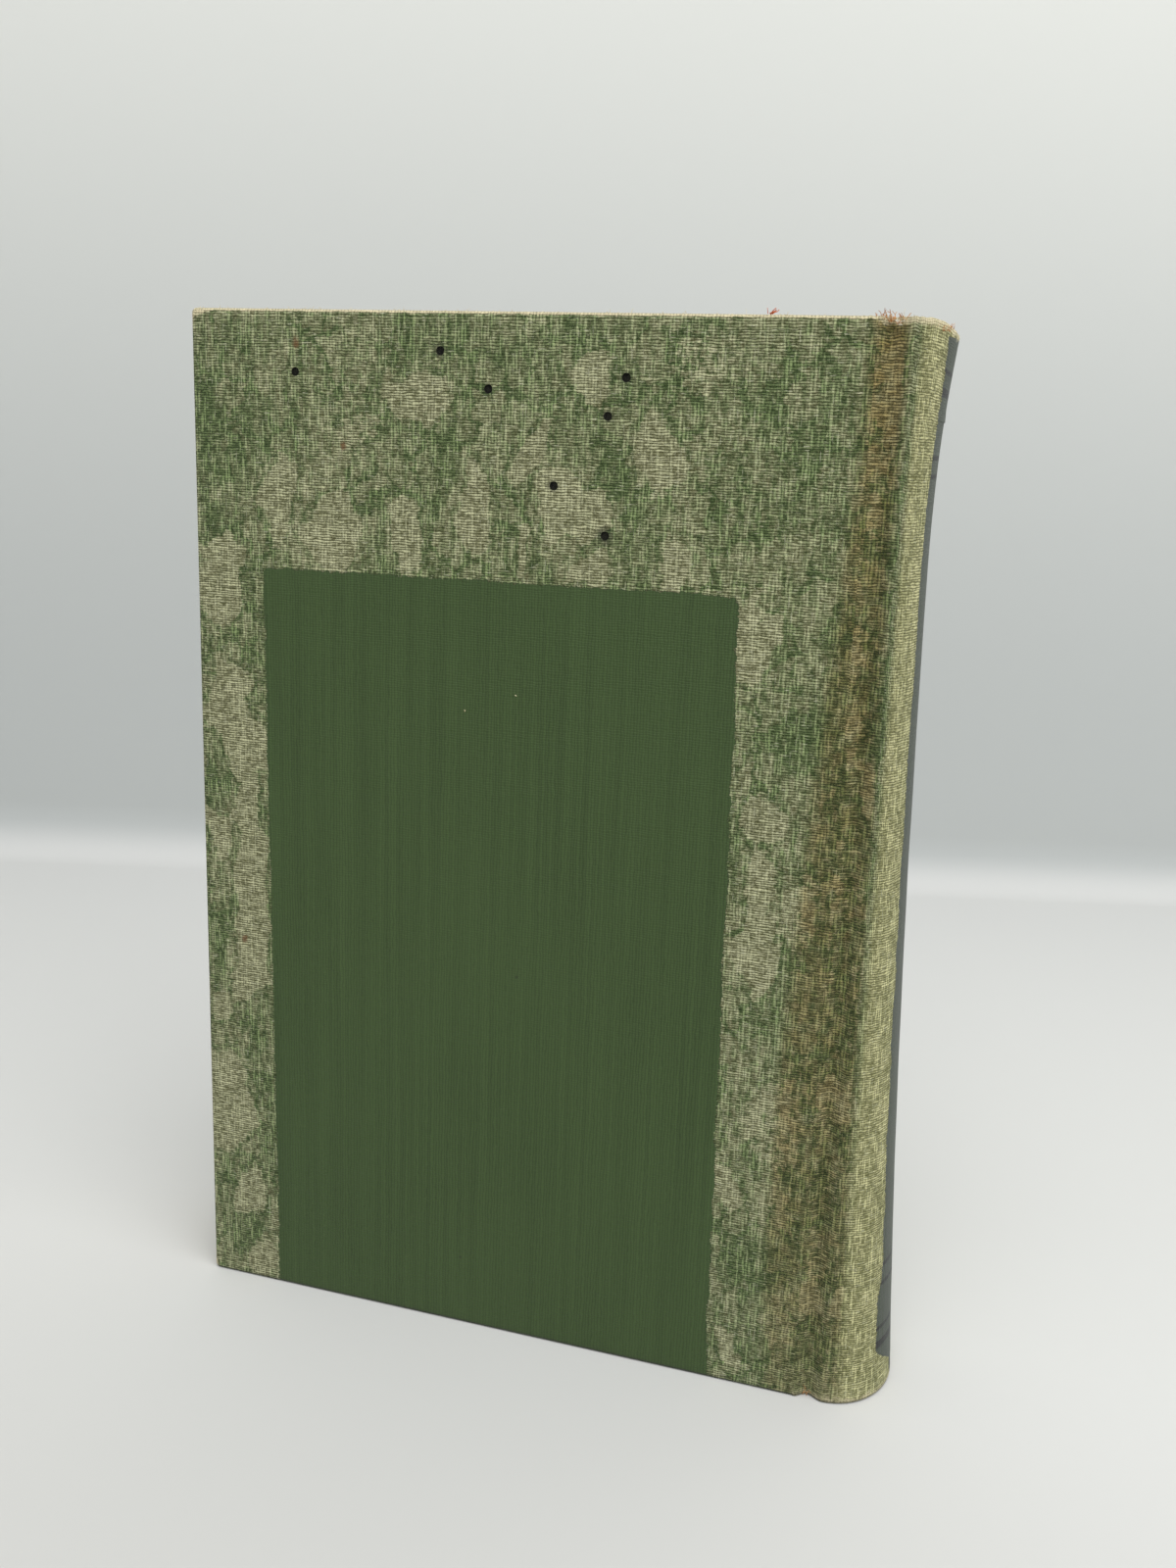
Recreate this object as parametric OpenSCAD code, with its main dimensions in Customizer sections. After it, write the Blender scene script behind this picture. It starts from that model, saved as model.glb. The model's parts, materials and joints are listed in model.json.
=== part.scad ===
// Hardback book in a publisher's cloth case: a sewn, rounded and backed text block in a hollow-backed case.
// It stands on its tail. The back cover faces -Y, the spine +X, and the origin is under the middle of its box.
// Local coordinates: x from the boards' spine edge, y from the back cover's outer face, z from the tail.

/* [Boards] */
// Height of the boards, from tail to head
board_h = 190; // [160:1:240]
// Width of a board, from fore-edge to joint
board_w = 121; // [95:0.5:170]
// Thickness of the greyboard
board_t = 2.4; // [1.6:0.1:3.4]
// Thickness of the closed book over both covers
book_t = 26; // [22:0.5:40]
// Radius worn on to the fore-edge corners
corner_r = 1.5; // [1:0.1:6]

/* [Cloth and endpapers] */
// Thickness of the book cloth
cloth_t = 0.4; // [0.3:0.05:0.5]
// Width of the cloth turned in over the inside of a board
turn_in_w = 15; // [9:0.5:19]
// Width of the seam where the cloth is mitred at a corner
mitre_w = 0.4; // [0.2:0.1:1]
// Thickness of an endpaper leaf
endpaper_t = 0.2; // [0.15:0.05:0.35]
// Gap between a pasted-down endpaper and its free leaf
leaf_gap = 0.1; // [0.05:0.05:0.3]

/* [Joint] */
// Width of the joint, from a board's edge to the shoulder of the spine
joint_w = 5; // [4:0.1:8]
// Depth of the groove pressed into the joint
groove_d = 1.3; // [0.5:0.1:1.6]
// Clearance between a cover and the cloth at its joint
cover_gap = 0.3; // [0.2:0.05:0.6]

/* [Text block] */
// Distance that the boards stand past the text block at head, tail and fore-edge
square_w = 3; // [2:0.25:5]
// Number of folded and sewn sections
section_count = 12; // [8:1:18]
// Depth of the round at the tail, at the spine and at the fore-edge
round_tail = 5.7; // [3:0.1:8]
// Depth of the round at the head
round_head = 2; // [1.5:0.1:6]
// Depth of the valley between two folds
fold_d = 0.35; // [0.15:0.05:0.5]
// Distance from the edge of the boards to the start of the backed shoulder
shoulder_start = 0.4; // [0.2:0.1:1]
// Distance from the edge of the case's spine back to the tip of the shoulder
shoulder_back = 0.4; // [0.2:0.1:0.8]
// Gap between the mull on the shoulder and the cloth over it, where the cloth's turned-in ends lie too
shoulder_gap = 0.3; // [0.1:0.05:0.6]

/* [Sewing and linings] */
// Number of sewing stations, with a kettle stitch at each end
station_count = 5; // [4:1:7]
// Distance from the ends of the text block to the kettle stitches
kettle_inset = 12; // [8:1:20]
// Diameter of the sewing thread
thread_d = 0.5; // [0.3:0.05:0.6]
// Thickness of the mull, the gauze glued over the folds and on to the boards
mull_t = 0.25; // [0.15:0.05:0.4]
// Width of the mull glued to each board
mull_flange_w = 28; // [15:1:35]
// Distance from the turned-in cloth to the end of the mull
mull_inset = 2.6; // [1:0.1:8]
// Thickness of the paper lining over the mull
lining_t = 0.2; // [0.1:0.05:0.4]
// Distance from the ends of the text block to the ends of the lining
lining_inset = 1.5; // [0.5:0.5:6]

/* [Spine of the case] */
// Thickness of the card strip inside the cloth of the spine
inlay_t = 0.5; // [0.3:0.05:0.8]
// Distance from the head down to the waist, where the spine comes nearest to the text block
waist_drop = 40; // [30:1:70]
// Gap between the linings and the case at the waist
hollow_gap = 0.35; // [0.2:0.05:1]
// How much farther the spine stands off at the tail than at the waist
tail_hollow = 3.6; // [1:0.1:5]
// How much farther the spine stands off at the head than at the waist
head_hollow = 2.5; // [1:0.1:4]
// Height lost to wear at the middle of the head of the spine
head_wear = 1.4; // [0:0.1:2]
// Clearance between curved layers that are glued together
glue_gap = 0.05; // [0.03:0.01:0.1]

/* [Hidden] */
$fn = 32;
past = 1;

// Layers of a cover, as distances from its outer face
board_in = cloth_t + board_t;
turn_in_top = board_in + cloth_t;
cover_t = turn_in_top + endpaper_t;
step_t = endpaper_t;

// Text block
mid_y = book_t / 2;
side_y = cover_t + leaf_gap + endpaper_t;
block_h = board_h - 2 * square_w;
fore_x = square_w - board_w;
shoulder_x = joint_w - shoulder_back;
shoulder_y = cloth_t + mull_t + shoulder_gap;
shoulder_half = mid_y - shoulder_y;
fold_steps = [-1, -0.75, -0.35, 0.35, 0.75];
flare_steps = [0, 15, 30, 45, 60, 72];
fore_steps = 12;

// Sewing: the thread lies in saw cuts across the folds
thread_depth = fold_d + thread_d;
saw_cut_d = thread_depth + glue_gap;
saw_cut_w = thread_d + 2 * glue_gap;
thread_reach = 1 - 1 / section_count;
thread_sides = 6;

// Linings
mull_z = cloth_t + turn_in_w + mull_inset;
lining_z = square_w + lining_inset;
mull_out = glue_gap + mull_t;
lining_out = mull_out + glue_gap + lining_t;
lining_steps = 24;
lining_margin = 2;

// Spine of the case
waist_z = board_h - waist_drop;
sag_power = 2.2;
groove_steps = 6;
groove_skew = 0.55;
groove_power = 1.5;
spine_angle = 10;
spine_rings = 10;
inlay_space = inlay_t + 2 * glue_gap;
inlay_first = groove_steps + 1;

// Place of the local coordinates in the book's own frame
edge_x = (board_w - spine_reach(0)) / 2;

// How far the folds stand out past the shoulders at height z
function round_at(z) = round_tail + (round_head - round_tail) * (z - square_w) / block_h;

// How far the hollow case stands off the linings at height z
function hollow_at(z) = hollow_gap + (z < waist_z
    ? tail_hollow * pow((waist_z - z) / waist_z, sag_power)
    : head_hollow * pow((z - waist_z) / (board_h - waist_z), sag_power));

// How far the middle of the spine stands past the edge of the boards at height z
function spine_reach(z) = shoulder_x + round_at(z) + lining_out + hollow_at(z) + inlay_space + cloth_t;

// Radius of an arc from its rise and half its chord
function arc_radius(rise, half) = (half * half + rise * rise) / (2 * rise);

// Point on an arc of the rounded folds: u runs from -1 at the back shoulder to 1 at the front one
function arc_point(rise, u, out) = let (
        r = arc_radius(rise, shoulder_half),
        a = asin(shoulder_half / r) * u
    ) [shoulder_x + rise - r + (r + out) * cos(a), mid_y + (r + out) * sin(a)];

// Point on the rounded folds at height z, on a straight line from the arc at the tail to the arc at the head
function round_point(z, u, out) = let (share = (z - square_w) / block_h)
    (1 - share) * arc_point(round_tail, u, out) + share * arc_point(round_head, u, out);

// How far the surface lies inside the round across one fold, v from -1 to 1
function fold_dip(v) = -fold_d * (1 - sqrt(1 - v * v));

// The folds of all sections at height z, with a valley between each two
function folds(z) = [
    for (k = [0:section_count - 1], v = fold_steps)
        round_point(z, (2 * k + 1 + v) / section_count - 1, fold_dip(v)),
    round_point(z, 1, fold_dip(1))
];

// The outermost section bent over to form the back shoulder
flare = [for (a = flare_steps) [
    shoulder_start + (shoulder_x - shoulder_start) * sin(a),
    side_y - (side_y - shoulder_y) * (1 - cos(a))
]];

// The hollow fore-edge at height z, from the front side to the back side
function fore_edge(z) = let (
        half = mid_y - side_y,
        rise = round_at(z),
        r = arc_radius(rise, half)
    ) [for (i = [0:fore_steps]) let (y = half - 2 * half * i / fore_steps)
        [fore_x + sqrt(r * r - y * y) - (r - rise), mid_y + y]];

// A path carried over to the front half of the book, in the opposite order
function front_half(path) = [for (i = [len(path) - 1:-1:0]) [path[i][0], book_t - path[i][1]]];

// Outline of the text block at height z
function block_ring(z) = [
    for (p = concat(flare, folds(z), front_half(flare), fore_edge(z))) [p[0], p[1], z]
];

// Depth of the joint's groove at distance x from the boards' edge
function groove_y(x) = groove_d * pow(sin(180 * pow(x / joint_w, groove_skew)), groove_power);

// Outer line of the case at height z, from the back joint round the spine to the front joint
function case_path(z) = let (half = concat(
        [for (k = [0:groove_steps - 1])
            let (x = cover_gap + (joint_w - cover_gap) * k / groove_steps) [x, groove_y(x)]],
        [for (a = [0:spine_angle:90])
            [joint_w + (spine_reach(z) - joint_w) * sin(a), mid_y * (1 - cos(a))]]
    ), other = front_half(half)) concat(half, [for (i = [1:len(other) - 1]) other[i]]);

// A path moved inwards, towards the text block, by a distance for each point
function inset_path(path, depths) = [
    for (i = [0:len(path) - 1]) let (
        t = path[min(i + 1, len(path) - 1)] - path[max(i - 1, 0)],
        n = [-t[1], t[0]] / norm(t)
    ) path[i] + depths[i] * n
];

// Wear at the head: how far a point of the case lies below the full height
function worn(y, z) = z >= board_h - cloth_t ? head_wear * pow(sin(180 * y / book_t), 2) : 0;

// Heights of the rings that a surface of the spine is drawn through
function ring_heights(low, high) = [for (j = [0:spine_rings]) low + (high - low) * j / spine_rings];

case_points = len(case_path(0));
inlay_last = case_points - 1 - inlay_first;

// Space between the cloth and its turned-in end: the card strip's pocket, or only glue over the joints
function case_space(i) = i >= inlay_first && i <= inlay_last ? inlay_space : 2 * glue_gap;

// One layer of the case at a depth, as rings of points, with its last ring lowered
function case_layer(heights, depth, first, last, lowered) = let (top = len(heights) - 1) [
    for (k = [0:top]) [for (i = [first:last])
        case_point(i, depth, heights[k]) - [0, 0, k == top ? lowered : 0]]
];

// A sheet between two sets of rings, open at both of its long edges and closed by a wall there
module band(outer, inner) {
    m = len(outer);
    n = len(outer[0]);
    o = m * n;
    sides = [for (j = [0:m - 2], i = [0:n - 2])
        let (a = j * n + i, b = a + 1, c = b + n, d = a + n)
            each [[a, d, c], [a, c, b], [o + a, o + b, o + c], [o + a, o + c, o + d]]];
    ends = [for (i = [0:n - 2])
        let (a = i, b = i + 1, c = (m - 1) * n + i, d = c + 1)
            each [[a, b, o + b], [a, o + b, o + a], [c, o + d, d], [c, o + c, o + d]]];
    edges = [for (j = [0:m - 2])
        let (a = j * n, b = a + n, c = a + n - 1, d = c + n)
            each [[a, o + a, o + b], [a, o + b, b], [c, o + d, o + c], [c, d, o + d]]];
    polyhedron(
        [for (r = concat(outer, inner)) each r],
        concat(sides, ends, edges)
    );
}

// A solid between two closed outlines with as many points
module loft(low, high) {
    n = len(low);
    walls = [for (i = [0:n - 1]) let (b = (i + 1) % n) each [[i, n + i, n + b], [i, n + b, b]]];
    polyhedron(
        concat(low, high),
        concat(walls, [[for (i = [0:n - 1]) i]], [[for (i = [n - 1:-1:0]) n + i]])
    );
}

// A lining glued round the folds, between two heights and two distances from the round,
// that stops a number of steps short of each shoulder
module round_lining(low, high, from, to, margin = 0) {
    rings = [low, high];
    band(
        [for (z = rings) [for (i = [margin:lining_steps - margin])
            let (p = round_point(z, 2 * i / lining_steps - 1, to)) [p[0], p[1], z]]],
        [for (z = rings) [for (i = [margin:lining_steps - margin])
            let (p = round_point(z, 2 * i / lining_steps - 1, from)) [p[0], p[1], z]]]
    );
}

// A plate between two distances from the cover's outer face, cut to a plan drawn in x and z
module plate(from, to) {
    translate([0, to, 0]) rotate([90, 0, 0]) linear_extrude(to - from) children();
}

// Plan of a cover moved in by inset on its three free sides
module cover_plan(inset, extra = 0) {
    r = max(corner_r - inset, cloth_t);
    low_x = inset - board_w;
    translate([low_x + r, inset]) square([board_w - inset - r + extra, board_h - 2 * inset]);
    translate([low_x, inset + r]) square([2 * r, board_h - 2 * (inset + r)]);
    for (z = [inset + r, board_h - inset - r]) translate([low_x + r, z]) circle(r);
}

// Seams of the mitred corners, drawn across the turned-in cloth
module mitre_plan() {
    for (z = [0, 1])
        translate([-board_w, z * board_h]) rotate(z == 0 ? 45 : -45)
            translate([corner_r + cloth_t, -mitre_w / 2])
                square([(turn_in_w + cloth_t) * sqrt(2), mitre_w]);
}

module in_place() {
    translate([edge_x, -mid_y, 0]) children();
}

module front_side() {
    mirror([0, 1, 0]) in_place() children();
}

// Height of a sewing station
function station_z(i) =
    square_w + kettle_inset + i * (block_h - 2 * kettle_inset) / (station_count - 1);

module saw_cut(z) {
    reach = thread_reach + glue_gap / shoulder_half;
    line = [for (i = [0:lining_steps]) reach * (2 * i / lining_steps - 1)];
    translate([0, 0, z - saw_cut_w / 2]) linear_extrude(saw_cut_w) polygon(concat(
        [for (u = line) round_point(z, u, past)],
        [for (i = [lining_steps:-1:0]) round_point(z, line[i], -saw_cut_d)]
    ));
}

module thread_run(z) {
    centre = thread_d / 2 - thread_depth;
    rings = [for (i = [0:lining_steps], k = [0:thread_sides - 1]) let (
            a = 360 * k / thread_sides,
            p = round_point(z, thread_reach * (2 * i / lining_steps - 1), centre + thread_d / 2 * cos(a))
        ) [p[0], p[1], z + thread_d / 2 * sin(a)]];
    last = lining_steps * thread_sides;
    walls = [for (i = [0:lining_steps - 1], k = [0:thread_sides - 1]) let (
            a = i * thread_sides + k,
            b = i * thread_sides + (k + 1) % thread_sides
        ) each [[a, b, b + thread_sides], [a, b + thread_sides, a + thread_sides]]];
    polyhedron(rings, concat(
        walls,
        [[for (k = [thread_sides - 1:-1:0]) k]],
        [[for (k = [0:thread_sides - 1]) last + k]]
    ));
}

module text_block() {
    color("#d9cba6") in_place() difference() {
        loft(block_ring(square_w), block_ring(board_h - square_w));
        for (i = [0:station_count - 1]) saw_cut(station_z(i));
    }
}

module sewing_thread() {
    color("#efe6cf") in_place() for (i = [0:station_count - 1]) thread_run(station_z(i));
}

module spine_mull() {
    color("#cfc4a0") in_place() round_lining(mull_z, board_h - mull_z, glue_gap, mull_out);
}

module spine_lining() {
    color("#a98e63") in_place()
        round_lining(lining_z, board_h - lining_z, mull_out + glue_gap, lining_out, lining_margin);
}

// The free endpaper leaf: it lies on the text block and follows its shoulder
module flyleaf() {
    inner = concat([[fore_x, side_y]], flare);
    depths = [for (p = inner) -endpaper_t];
    outer = inset_path(inner, depths);
    color("#ddd0ad") translate([0, 0, square_w]) linear_extrude(block_h)
        polygon(concat(outer, [for (i = [len(inner) - 1:-1:0]) inner[i]]));
}

module back_flyleaf() {
    in_place() flyleaf();
}

module front_flyleaf() {
    front_side() flyleaf();
}

// The card strip that stiffens the spine of the case, shut in by the turned-in cloth
module spine_inlay() {
    rings = ring_heights(0, board_h);
    middle = [for (i = [1:spine_rings - 1]) rings[i]];
    heights = concat([cloth_t + glue_gap], middle, [board_h - cloth_t]);
    depth = cloth_t + glue_gap;
    color("#9a8a6c") in_place() band(
        case_layer(heights, depth, inlay_first, inlay_last, glue_gap),
        case_layer(heights, depth + inlay_t, inlay_first, inlay_last, glue_gap)
    );
}

// Section through the cloth of the spine and its turned-in ends, as depth and height round a closed line
function spine_section(space) = let (
        top = board_h - cloth_t,
        under = cloth_t + space,
        inside = under + cloth_t,
        heights = ring_heights(0, board_h),
        middle = [for (i = [spine_rings - 1:-1:1]) heights[i]]
    ) concat(
        [for (z = heights) [0, z]],
        [[inside, board_h], [inside, top - turn_in_w], [under, top - turn_in_w], [under, top]],
        [[cloth_t, top]],
        [for (z = middle) [cloth_t, z]],
        [[cloth_t, cloth_t]],
        [[under, cloth_t], [under, cloth_t + turn_in_w], [inside, cloth_t + turn_in_w], [inside, 0]]
    );

// The way in from the case's outer line at an index: straight in beside the boards, so as to stay clear of them
function inwards(path, i) = i == 0 ? [0, 1] : i == len(path) - 1 ? [0, -1] : let (
        t = path[i + 1] - path[i - 1]
    ) [-t[1], t[0]] / norm(t);

// The point of the case at an index of its path, at a depth and a height
function case_point(i, depth, z) = let (
        path = case_path(z),
        p = path[i] + depth * inwards(path, i)
    ) [p[0], p[1], z - worn(p[1], z)];

// The faces that close one end of the spine cloth, by the indices of its section
function section_cap(from, flip) = let (
        r = spine_rings,
        inner = 2 * r + 5,
        quads = concat(
            [for (j = [0:r - 1]) [j, j + 1, inner - j - 1, inner - j]],
            [[r, r + 1, r + 4, r + 5], [r + 1, r + 2, r + 3, r + 4]],
            [[inner, inner + 1, inner + 4, 0], [inner + 1, inner + 2, inner + 3, inner + 4]]
        )
    ) [for (q = quads, t = [[0, 1, 2], [0, 2, 3]])
        [for (k = flip ? [2, 1, 0] : [0, 1, 2]) from + q[t[k]]]];

// The cloth over the joints and the spine, turned in over the card strip at head and tail
module spine_cloth() {
    sections = [for (i = [0:case_points - 1])
        [for (q = spine_section(case_space(i))) case_point(i, q[0], q[1])]];
    n = len(sections[0]);
    walls = [for (i = [0:case_points - 2], k = [0:n - 1])
        let (a = i * n + k, b = i * n + (k + 1) % n)
            each [[a, b, b + n], [a, b + n, a + n]]];
    color("#6f7a4b") in_place() polyhedron(
        [for (r = sections) each r],
        concat(walls, section_cap(0, true), section_cap((case_points - 1) * n, false))
    );
}

module board() {
    color("#8f8468") plate(cloth_t, board_in) cover_plan(cloth_t);
}

// The cloth on a board: it goes round three edges and is turned in over the inside
module cover_cloth() {
    color("#5e6f43") difference() {
        plate(0, turn_in_top) cover_plan(0);
        plate(cloth_t, board_in) cover_plan(cloth_t, past);
        plate(cloth_t, turn_in_top + past) cover_plan(cloth_t + turn_in_w, past);
        plate(turn_in_top - cloth_t / 2, turn_in_top + past) mitre_plan();
    }
}

module mull_flange() {
    color("#cfc4a0") translate([-mull_flange_w, board_in, mull_z])
        cube([mull_flange_w, mull_t, board_h - 2 * mull_z]);
}

// Space taken under the pasted-down endpaper by the mull, which the paper steps over
module mull_bump(grow) {
    translate([-mull_flange_w - grow, board_in - past, mull_z - grow])
        cube([mull_flange_w + grow + past, mull_t + grow + past, board_h - 2 * (mull_z - grow)]);
}

// The endpaper glued down inside a cover: it steps down off the turned-in cloth and over the mull
module pastedown() {
    color("#ddd0ad") difference() {
        intersection() {
            plate(board_in, cover_t) cover_plan(square_w);
            union() {
                plate(board_in, board_in + endpaper_t) cover_plan(square_w);
                difference() {
                    plate(board_in, cover_t) cover_plan(square_w);
                    plate(board_in, cover_t + past) cover_plan(cloth_t + turn_in_w + step_t, past);
                }
                mull_bump(step_t);
            }
        }
        difference() {
            plate(board_in - past, turn_in_top) cover_plan(-past, past);
            plate(board_in - 2 * past, turn_in_top + past) cover_plan(cloth_t + turn_in_w, 2 * past);
        }
        mull_bump(0);
    }
}

module back_board() {
    in_place() board();
}

module back_cloth() {
    in_place() cover_cloth();
}

module back_mull_flange() {
    in_place() mull_flange();
}

module back_pastedown() {
    in_place() pastedown();
}

module front_board() {
    front_side() board();
}

module front_cloth() {
    front_side() cover_cloth();
}

module front_mull_flange() {
    front_side() mull_flange();
}

module front_pastedown() {
    front_side() pastedown();
}

text_block();
sewing_thread();
spine_mull();
spine_lining();
front_flyleaf();
back_flyleaf();
spine_inlay();
spine_cloth();
front_board();
front_cloth();
front_mull_flange();
front_pastedown();
back_board();
back_cloth();
back_mull_flange();
back_pastedown();
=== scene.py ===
"""Looks of a small old hardback book in worn green cloth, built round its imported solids."""

from __future__ import annotations

import json
import logging
import math
import random
from collections.abc import Callable, Iterable, Iterator, Sequence
from contextlib import contextmanager
from dataclasses import dataclass, field
from enum import Enum

import bmesh
import bpy
import numpy as np
from mathutils import Matrix, Vector, noise

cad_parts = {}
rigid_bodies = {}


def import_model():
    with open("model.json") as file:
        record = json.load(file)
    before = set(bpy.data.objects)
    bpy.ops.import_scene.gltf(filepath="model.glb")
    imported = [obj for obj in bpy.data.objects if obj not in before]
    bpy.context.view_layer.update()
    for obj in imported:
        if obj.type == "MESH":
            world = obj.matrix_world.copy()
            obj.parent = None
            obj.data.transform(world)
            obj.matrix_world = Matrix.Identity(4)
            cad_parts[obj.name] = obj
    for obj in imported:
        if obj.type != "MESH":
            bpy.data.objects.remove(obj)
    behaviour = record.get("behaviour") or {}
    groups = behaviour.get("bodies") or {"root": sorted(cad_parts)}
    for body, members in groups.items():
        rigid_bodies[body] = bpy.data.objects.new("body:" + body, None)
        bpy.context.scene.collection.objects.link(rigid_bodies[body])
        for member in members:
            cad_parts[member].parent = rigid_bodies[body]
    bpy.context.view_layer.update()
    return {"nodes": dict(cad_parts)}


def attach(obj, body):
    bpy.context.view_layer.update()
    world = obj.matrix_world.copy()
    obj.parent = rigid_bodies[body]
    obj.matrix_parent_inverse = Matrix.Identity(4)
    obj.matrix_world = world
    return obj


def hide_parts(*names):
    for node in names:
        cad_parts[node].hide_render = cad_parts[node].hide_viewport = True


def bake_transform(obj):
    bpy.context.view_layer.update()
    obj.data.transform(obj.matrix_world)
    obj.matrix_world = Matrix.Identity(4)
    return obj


LOG = logging.getLogger("book")
MM = 0.001
CLOTH_MAP = "ClothMap"
# Between these two places of a joint, in local millimetres, its cloth and paper pass from the text
# block to the cover.
BEND = ((4.5, 0.0, 95.0), (0.0, 0.0, 95.0))


class Side(Enum):
    """Half of the binding that a piece belongs to."""

    BACK = "back"
    FRONT = "front"

    @property
    def body(self) -> str:
        """Name of the body that the cover of this side is."""
        return f"{self.value}_cover"


class Region(Enum):
    """Part of a cover that a face of its cloth lies on."""

    OUTSIDE = 0
    FORE_EDGE = 1
    HEAD = 2
    TAIL = 3


class Mask(Enum):
    """What an attribute on the cloth says about a point of it."""

    WEAR = "Wear"
    INTACT = "Intact"
    STAIN = "Stain"
    RUB = "Rub"
    SPINE = "Spine"


# Sizes and shapes


@dataclass(frozen=True)
class BookSizes:
    """Sizes of the book in millimetres, with the same names as in the part's source."""

    board_h: float = 190.0
    board_w: float = 121.0
    board_t: float = 2.4
    book_t: float = 26.0
    corner_r: float = 1.5
    cloth_t: float = 0.4
    turn_in_w: float = 15.0
    endpaper_t: float = 0.2
    leaf_gap: float = 0.1
    joint_w: float = 5.0
    groove_d: float = 1.3
    groove_skew: float = 0.75
    groove_power: float = 2.0
    square_w: float = 3.0
    section_count: int = 12
    round_tail: float = 5.7
    round_head: float = 2.0
    fold_d: float = 0.35
    shoulder_back: float = 0.4
    shoulder_gap: float = 0.3
    mull_t: float = 0.25
    lining_t: float = 0.2
    glue_gap: float = 0.05
    inlay_t: float = 0.5
    waist_drop: float = 40.0
    hollow_gap: float = 0.35
    tail_hollow: float = 3.6
    head_hollow: float = 2.5
    sag_power: float = 2.2
    head_wear: float = 1.4

    @property
    def mid_y(self) -> float:
        """Distance from the back cover's outer face to the middle of the book."""
        return self.book_t / 2

    @property
    def turn_in_top(self) -> float:
        """Thickness of a cover over its cloth on both faces."""
        return self.board_t + 2 * self.cloth_t

    @property
    def cover_t(self) -> float:
        """Thickness of a cover with its pasted endpaper."""
        return self.turn_in_top + self.endpaper_t

    @property
    def side_y(self) -> float:
        """Distance from the back cover's outer face to the side of the text block."""
        return self.cover_t + self.leaf_gap + self.endpaper_t

    @property
    def shoulder_x(self) -> float:
        """Distance from the edge of the boards to the tip of the shoulder."""
        return self.joint_w - self.shoulder_back

    @property
    def shoulder_y(self) -> float:
        """Distance from the back cover's outer face to the tip of the shoulder."""
        return self.cloth_t + self.mull_t + self.shoulder_gap

    @property
    def edge_x(self) -> float:
        """Place of the boards' spine edge in the book's own frame."""
        return (self.board_w - self.spine_reach(0.0)) / 2

    def round_at(self, z: float) -> float:
        """How far the folds stand out past the shoulders at height z."""
        share = (z - self.square_w) / (self.board_h - 2 * self.square_w)
        return self.round_tail + (self.round_head - self.round_tail) * share

    def hollow_at(self, z: float) -> float:
        """How far the hollow case stands off the linings at height z."""
        waist = self.board_h - self.waist_drop
        if z < waist:
            return self.hollow_gap + self.tail_hollow * ((waist - z) / waist) ** self.sag_power
        return self.hollow_gap + self.head_hollow * ((z - waist) / self.waist_drop) ** self.sag_power

    def spine_reach(self, z: float) -> float:
        """How far the middle of the spine stands past the boards at height z."""
        linings = 2 * self.glue_gap + self.mull_t + self.lining_t
        strip = self.inlay_t + 2 * self.glue_gap
        return self.shoulder_x + self.round_at(z) + linings + self.hollow_at(z) + strip + self.cloth_t

    def groove_y(self, x: float) -> float:
        """Depth of the joint's groove at distance x from the boards' edge."""
        if x <= 0 or x >= self.joint_w:
            return 0.0
        return self.groove_d * math.sin(math.pi * (x / self.joint_w) ** self.groove_skew) ** self.groove_power

    def arc_point(self, rise: float, u: float, out: float) -> np.ndarray:
        """Point on an arc of the rounded folds, as x and y; u runs from -1 at the back to 1 at the front."""
        half = self.mid_y - self.shoulder_y
        radius = (half * half + rise * rise) / (2 * rise)
        angle = math.asin(half / radius) * u
        x = self.shoulder_x + rise - radius + (radius + out) * math.cos(angle)
        return np.array([x, self.mid_y + (radius + out) * math.sin(angle)])

    def round_point(self, z: float, u: float, out: float) -> np.ndarray:
        """Point on the rounded folds at height z.

        Args:
            z: Height above the tail.
            u: Place across the folds, from -1 at the back to 1 at the front.
            out: Distance outside the round.

        Returns:
            Distance from the boards' edge and from the back cover's outer face.
        """
        share = (z - self.square_w) / (self.board_h - 2 * self.square_w)
        low, high = self.arc_point(self.round_tail, u, out), self.arc_point(self.round_head, u, out)
        return (1 - share) * low + share * high

    def place(self, points: Sequence[Sequence[float]] | np.ndarray) -> np.ndarray:
        """Carries points of the back half in local millimetres to the book's own frame in metres.

        Args:
            points: Rows of x, y and z from the boards' edge, the outer face and the tail.

        Returns:
            Array of the same shape in metres.
        """
        out = np.array(points, float)
        out[:, 0] += self.edge_x
        out[:, 1] -= self.mid_y
        return out * MM

    def local(self, points: np.ndarray) -> np.ndarray:
        """Carries points of the back half in metres to local millimetres."""
        out = np.array(points, float) / MM
        out[:, 0] -= self.edge_x
        out[:, 1] += self.mid_y
        return out


SIZES = BookSizes()


def smooth(low: float, high: float, value: np.ndarray | float) -> np.ndarray:
    """Smooth step from 0 at low to 1 at high."""
    t = np.clip((np.asarray(value, float) - low) / (high - low), 0, 1)
    return t * t * (3 - 2 * t)


def drift(x: float, z: float, size: float, seed: float) -> float:
    """Soft noise from -1 to 1 over the cloth, with features of a size in millimetres."""
    return float(noise.noise(Vector((x / size, z / size, seed))))


# Mesh work


def deselect() -> None:
    """Leaves edit mode and deselects every object."""
    if bpy.context.object and bpy.context.object.mode != "OBJECT":
        bpy.ops.object.mode_set(mode="OBJECT")
    bpy.ops.object.select_all(action="DESELECT")


def activate(obj: bpy.types.Object) -> None:
    """Selects one object alone and makes it the active one."""
    deselect()
    obj.select_set(True)
    bpy.context.view_layer.objects.active = obj


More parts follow.
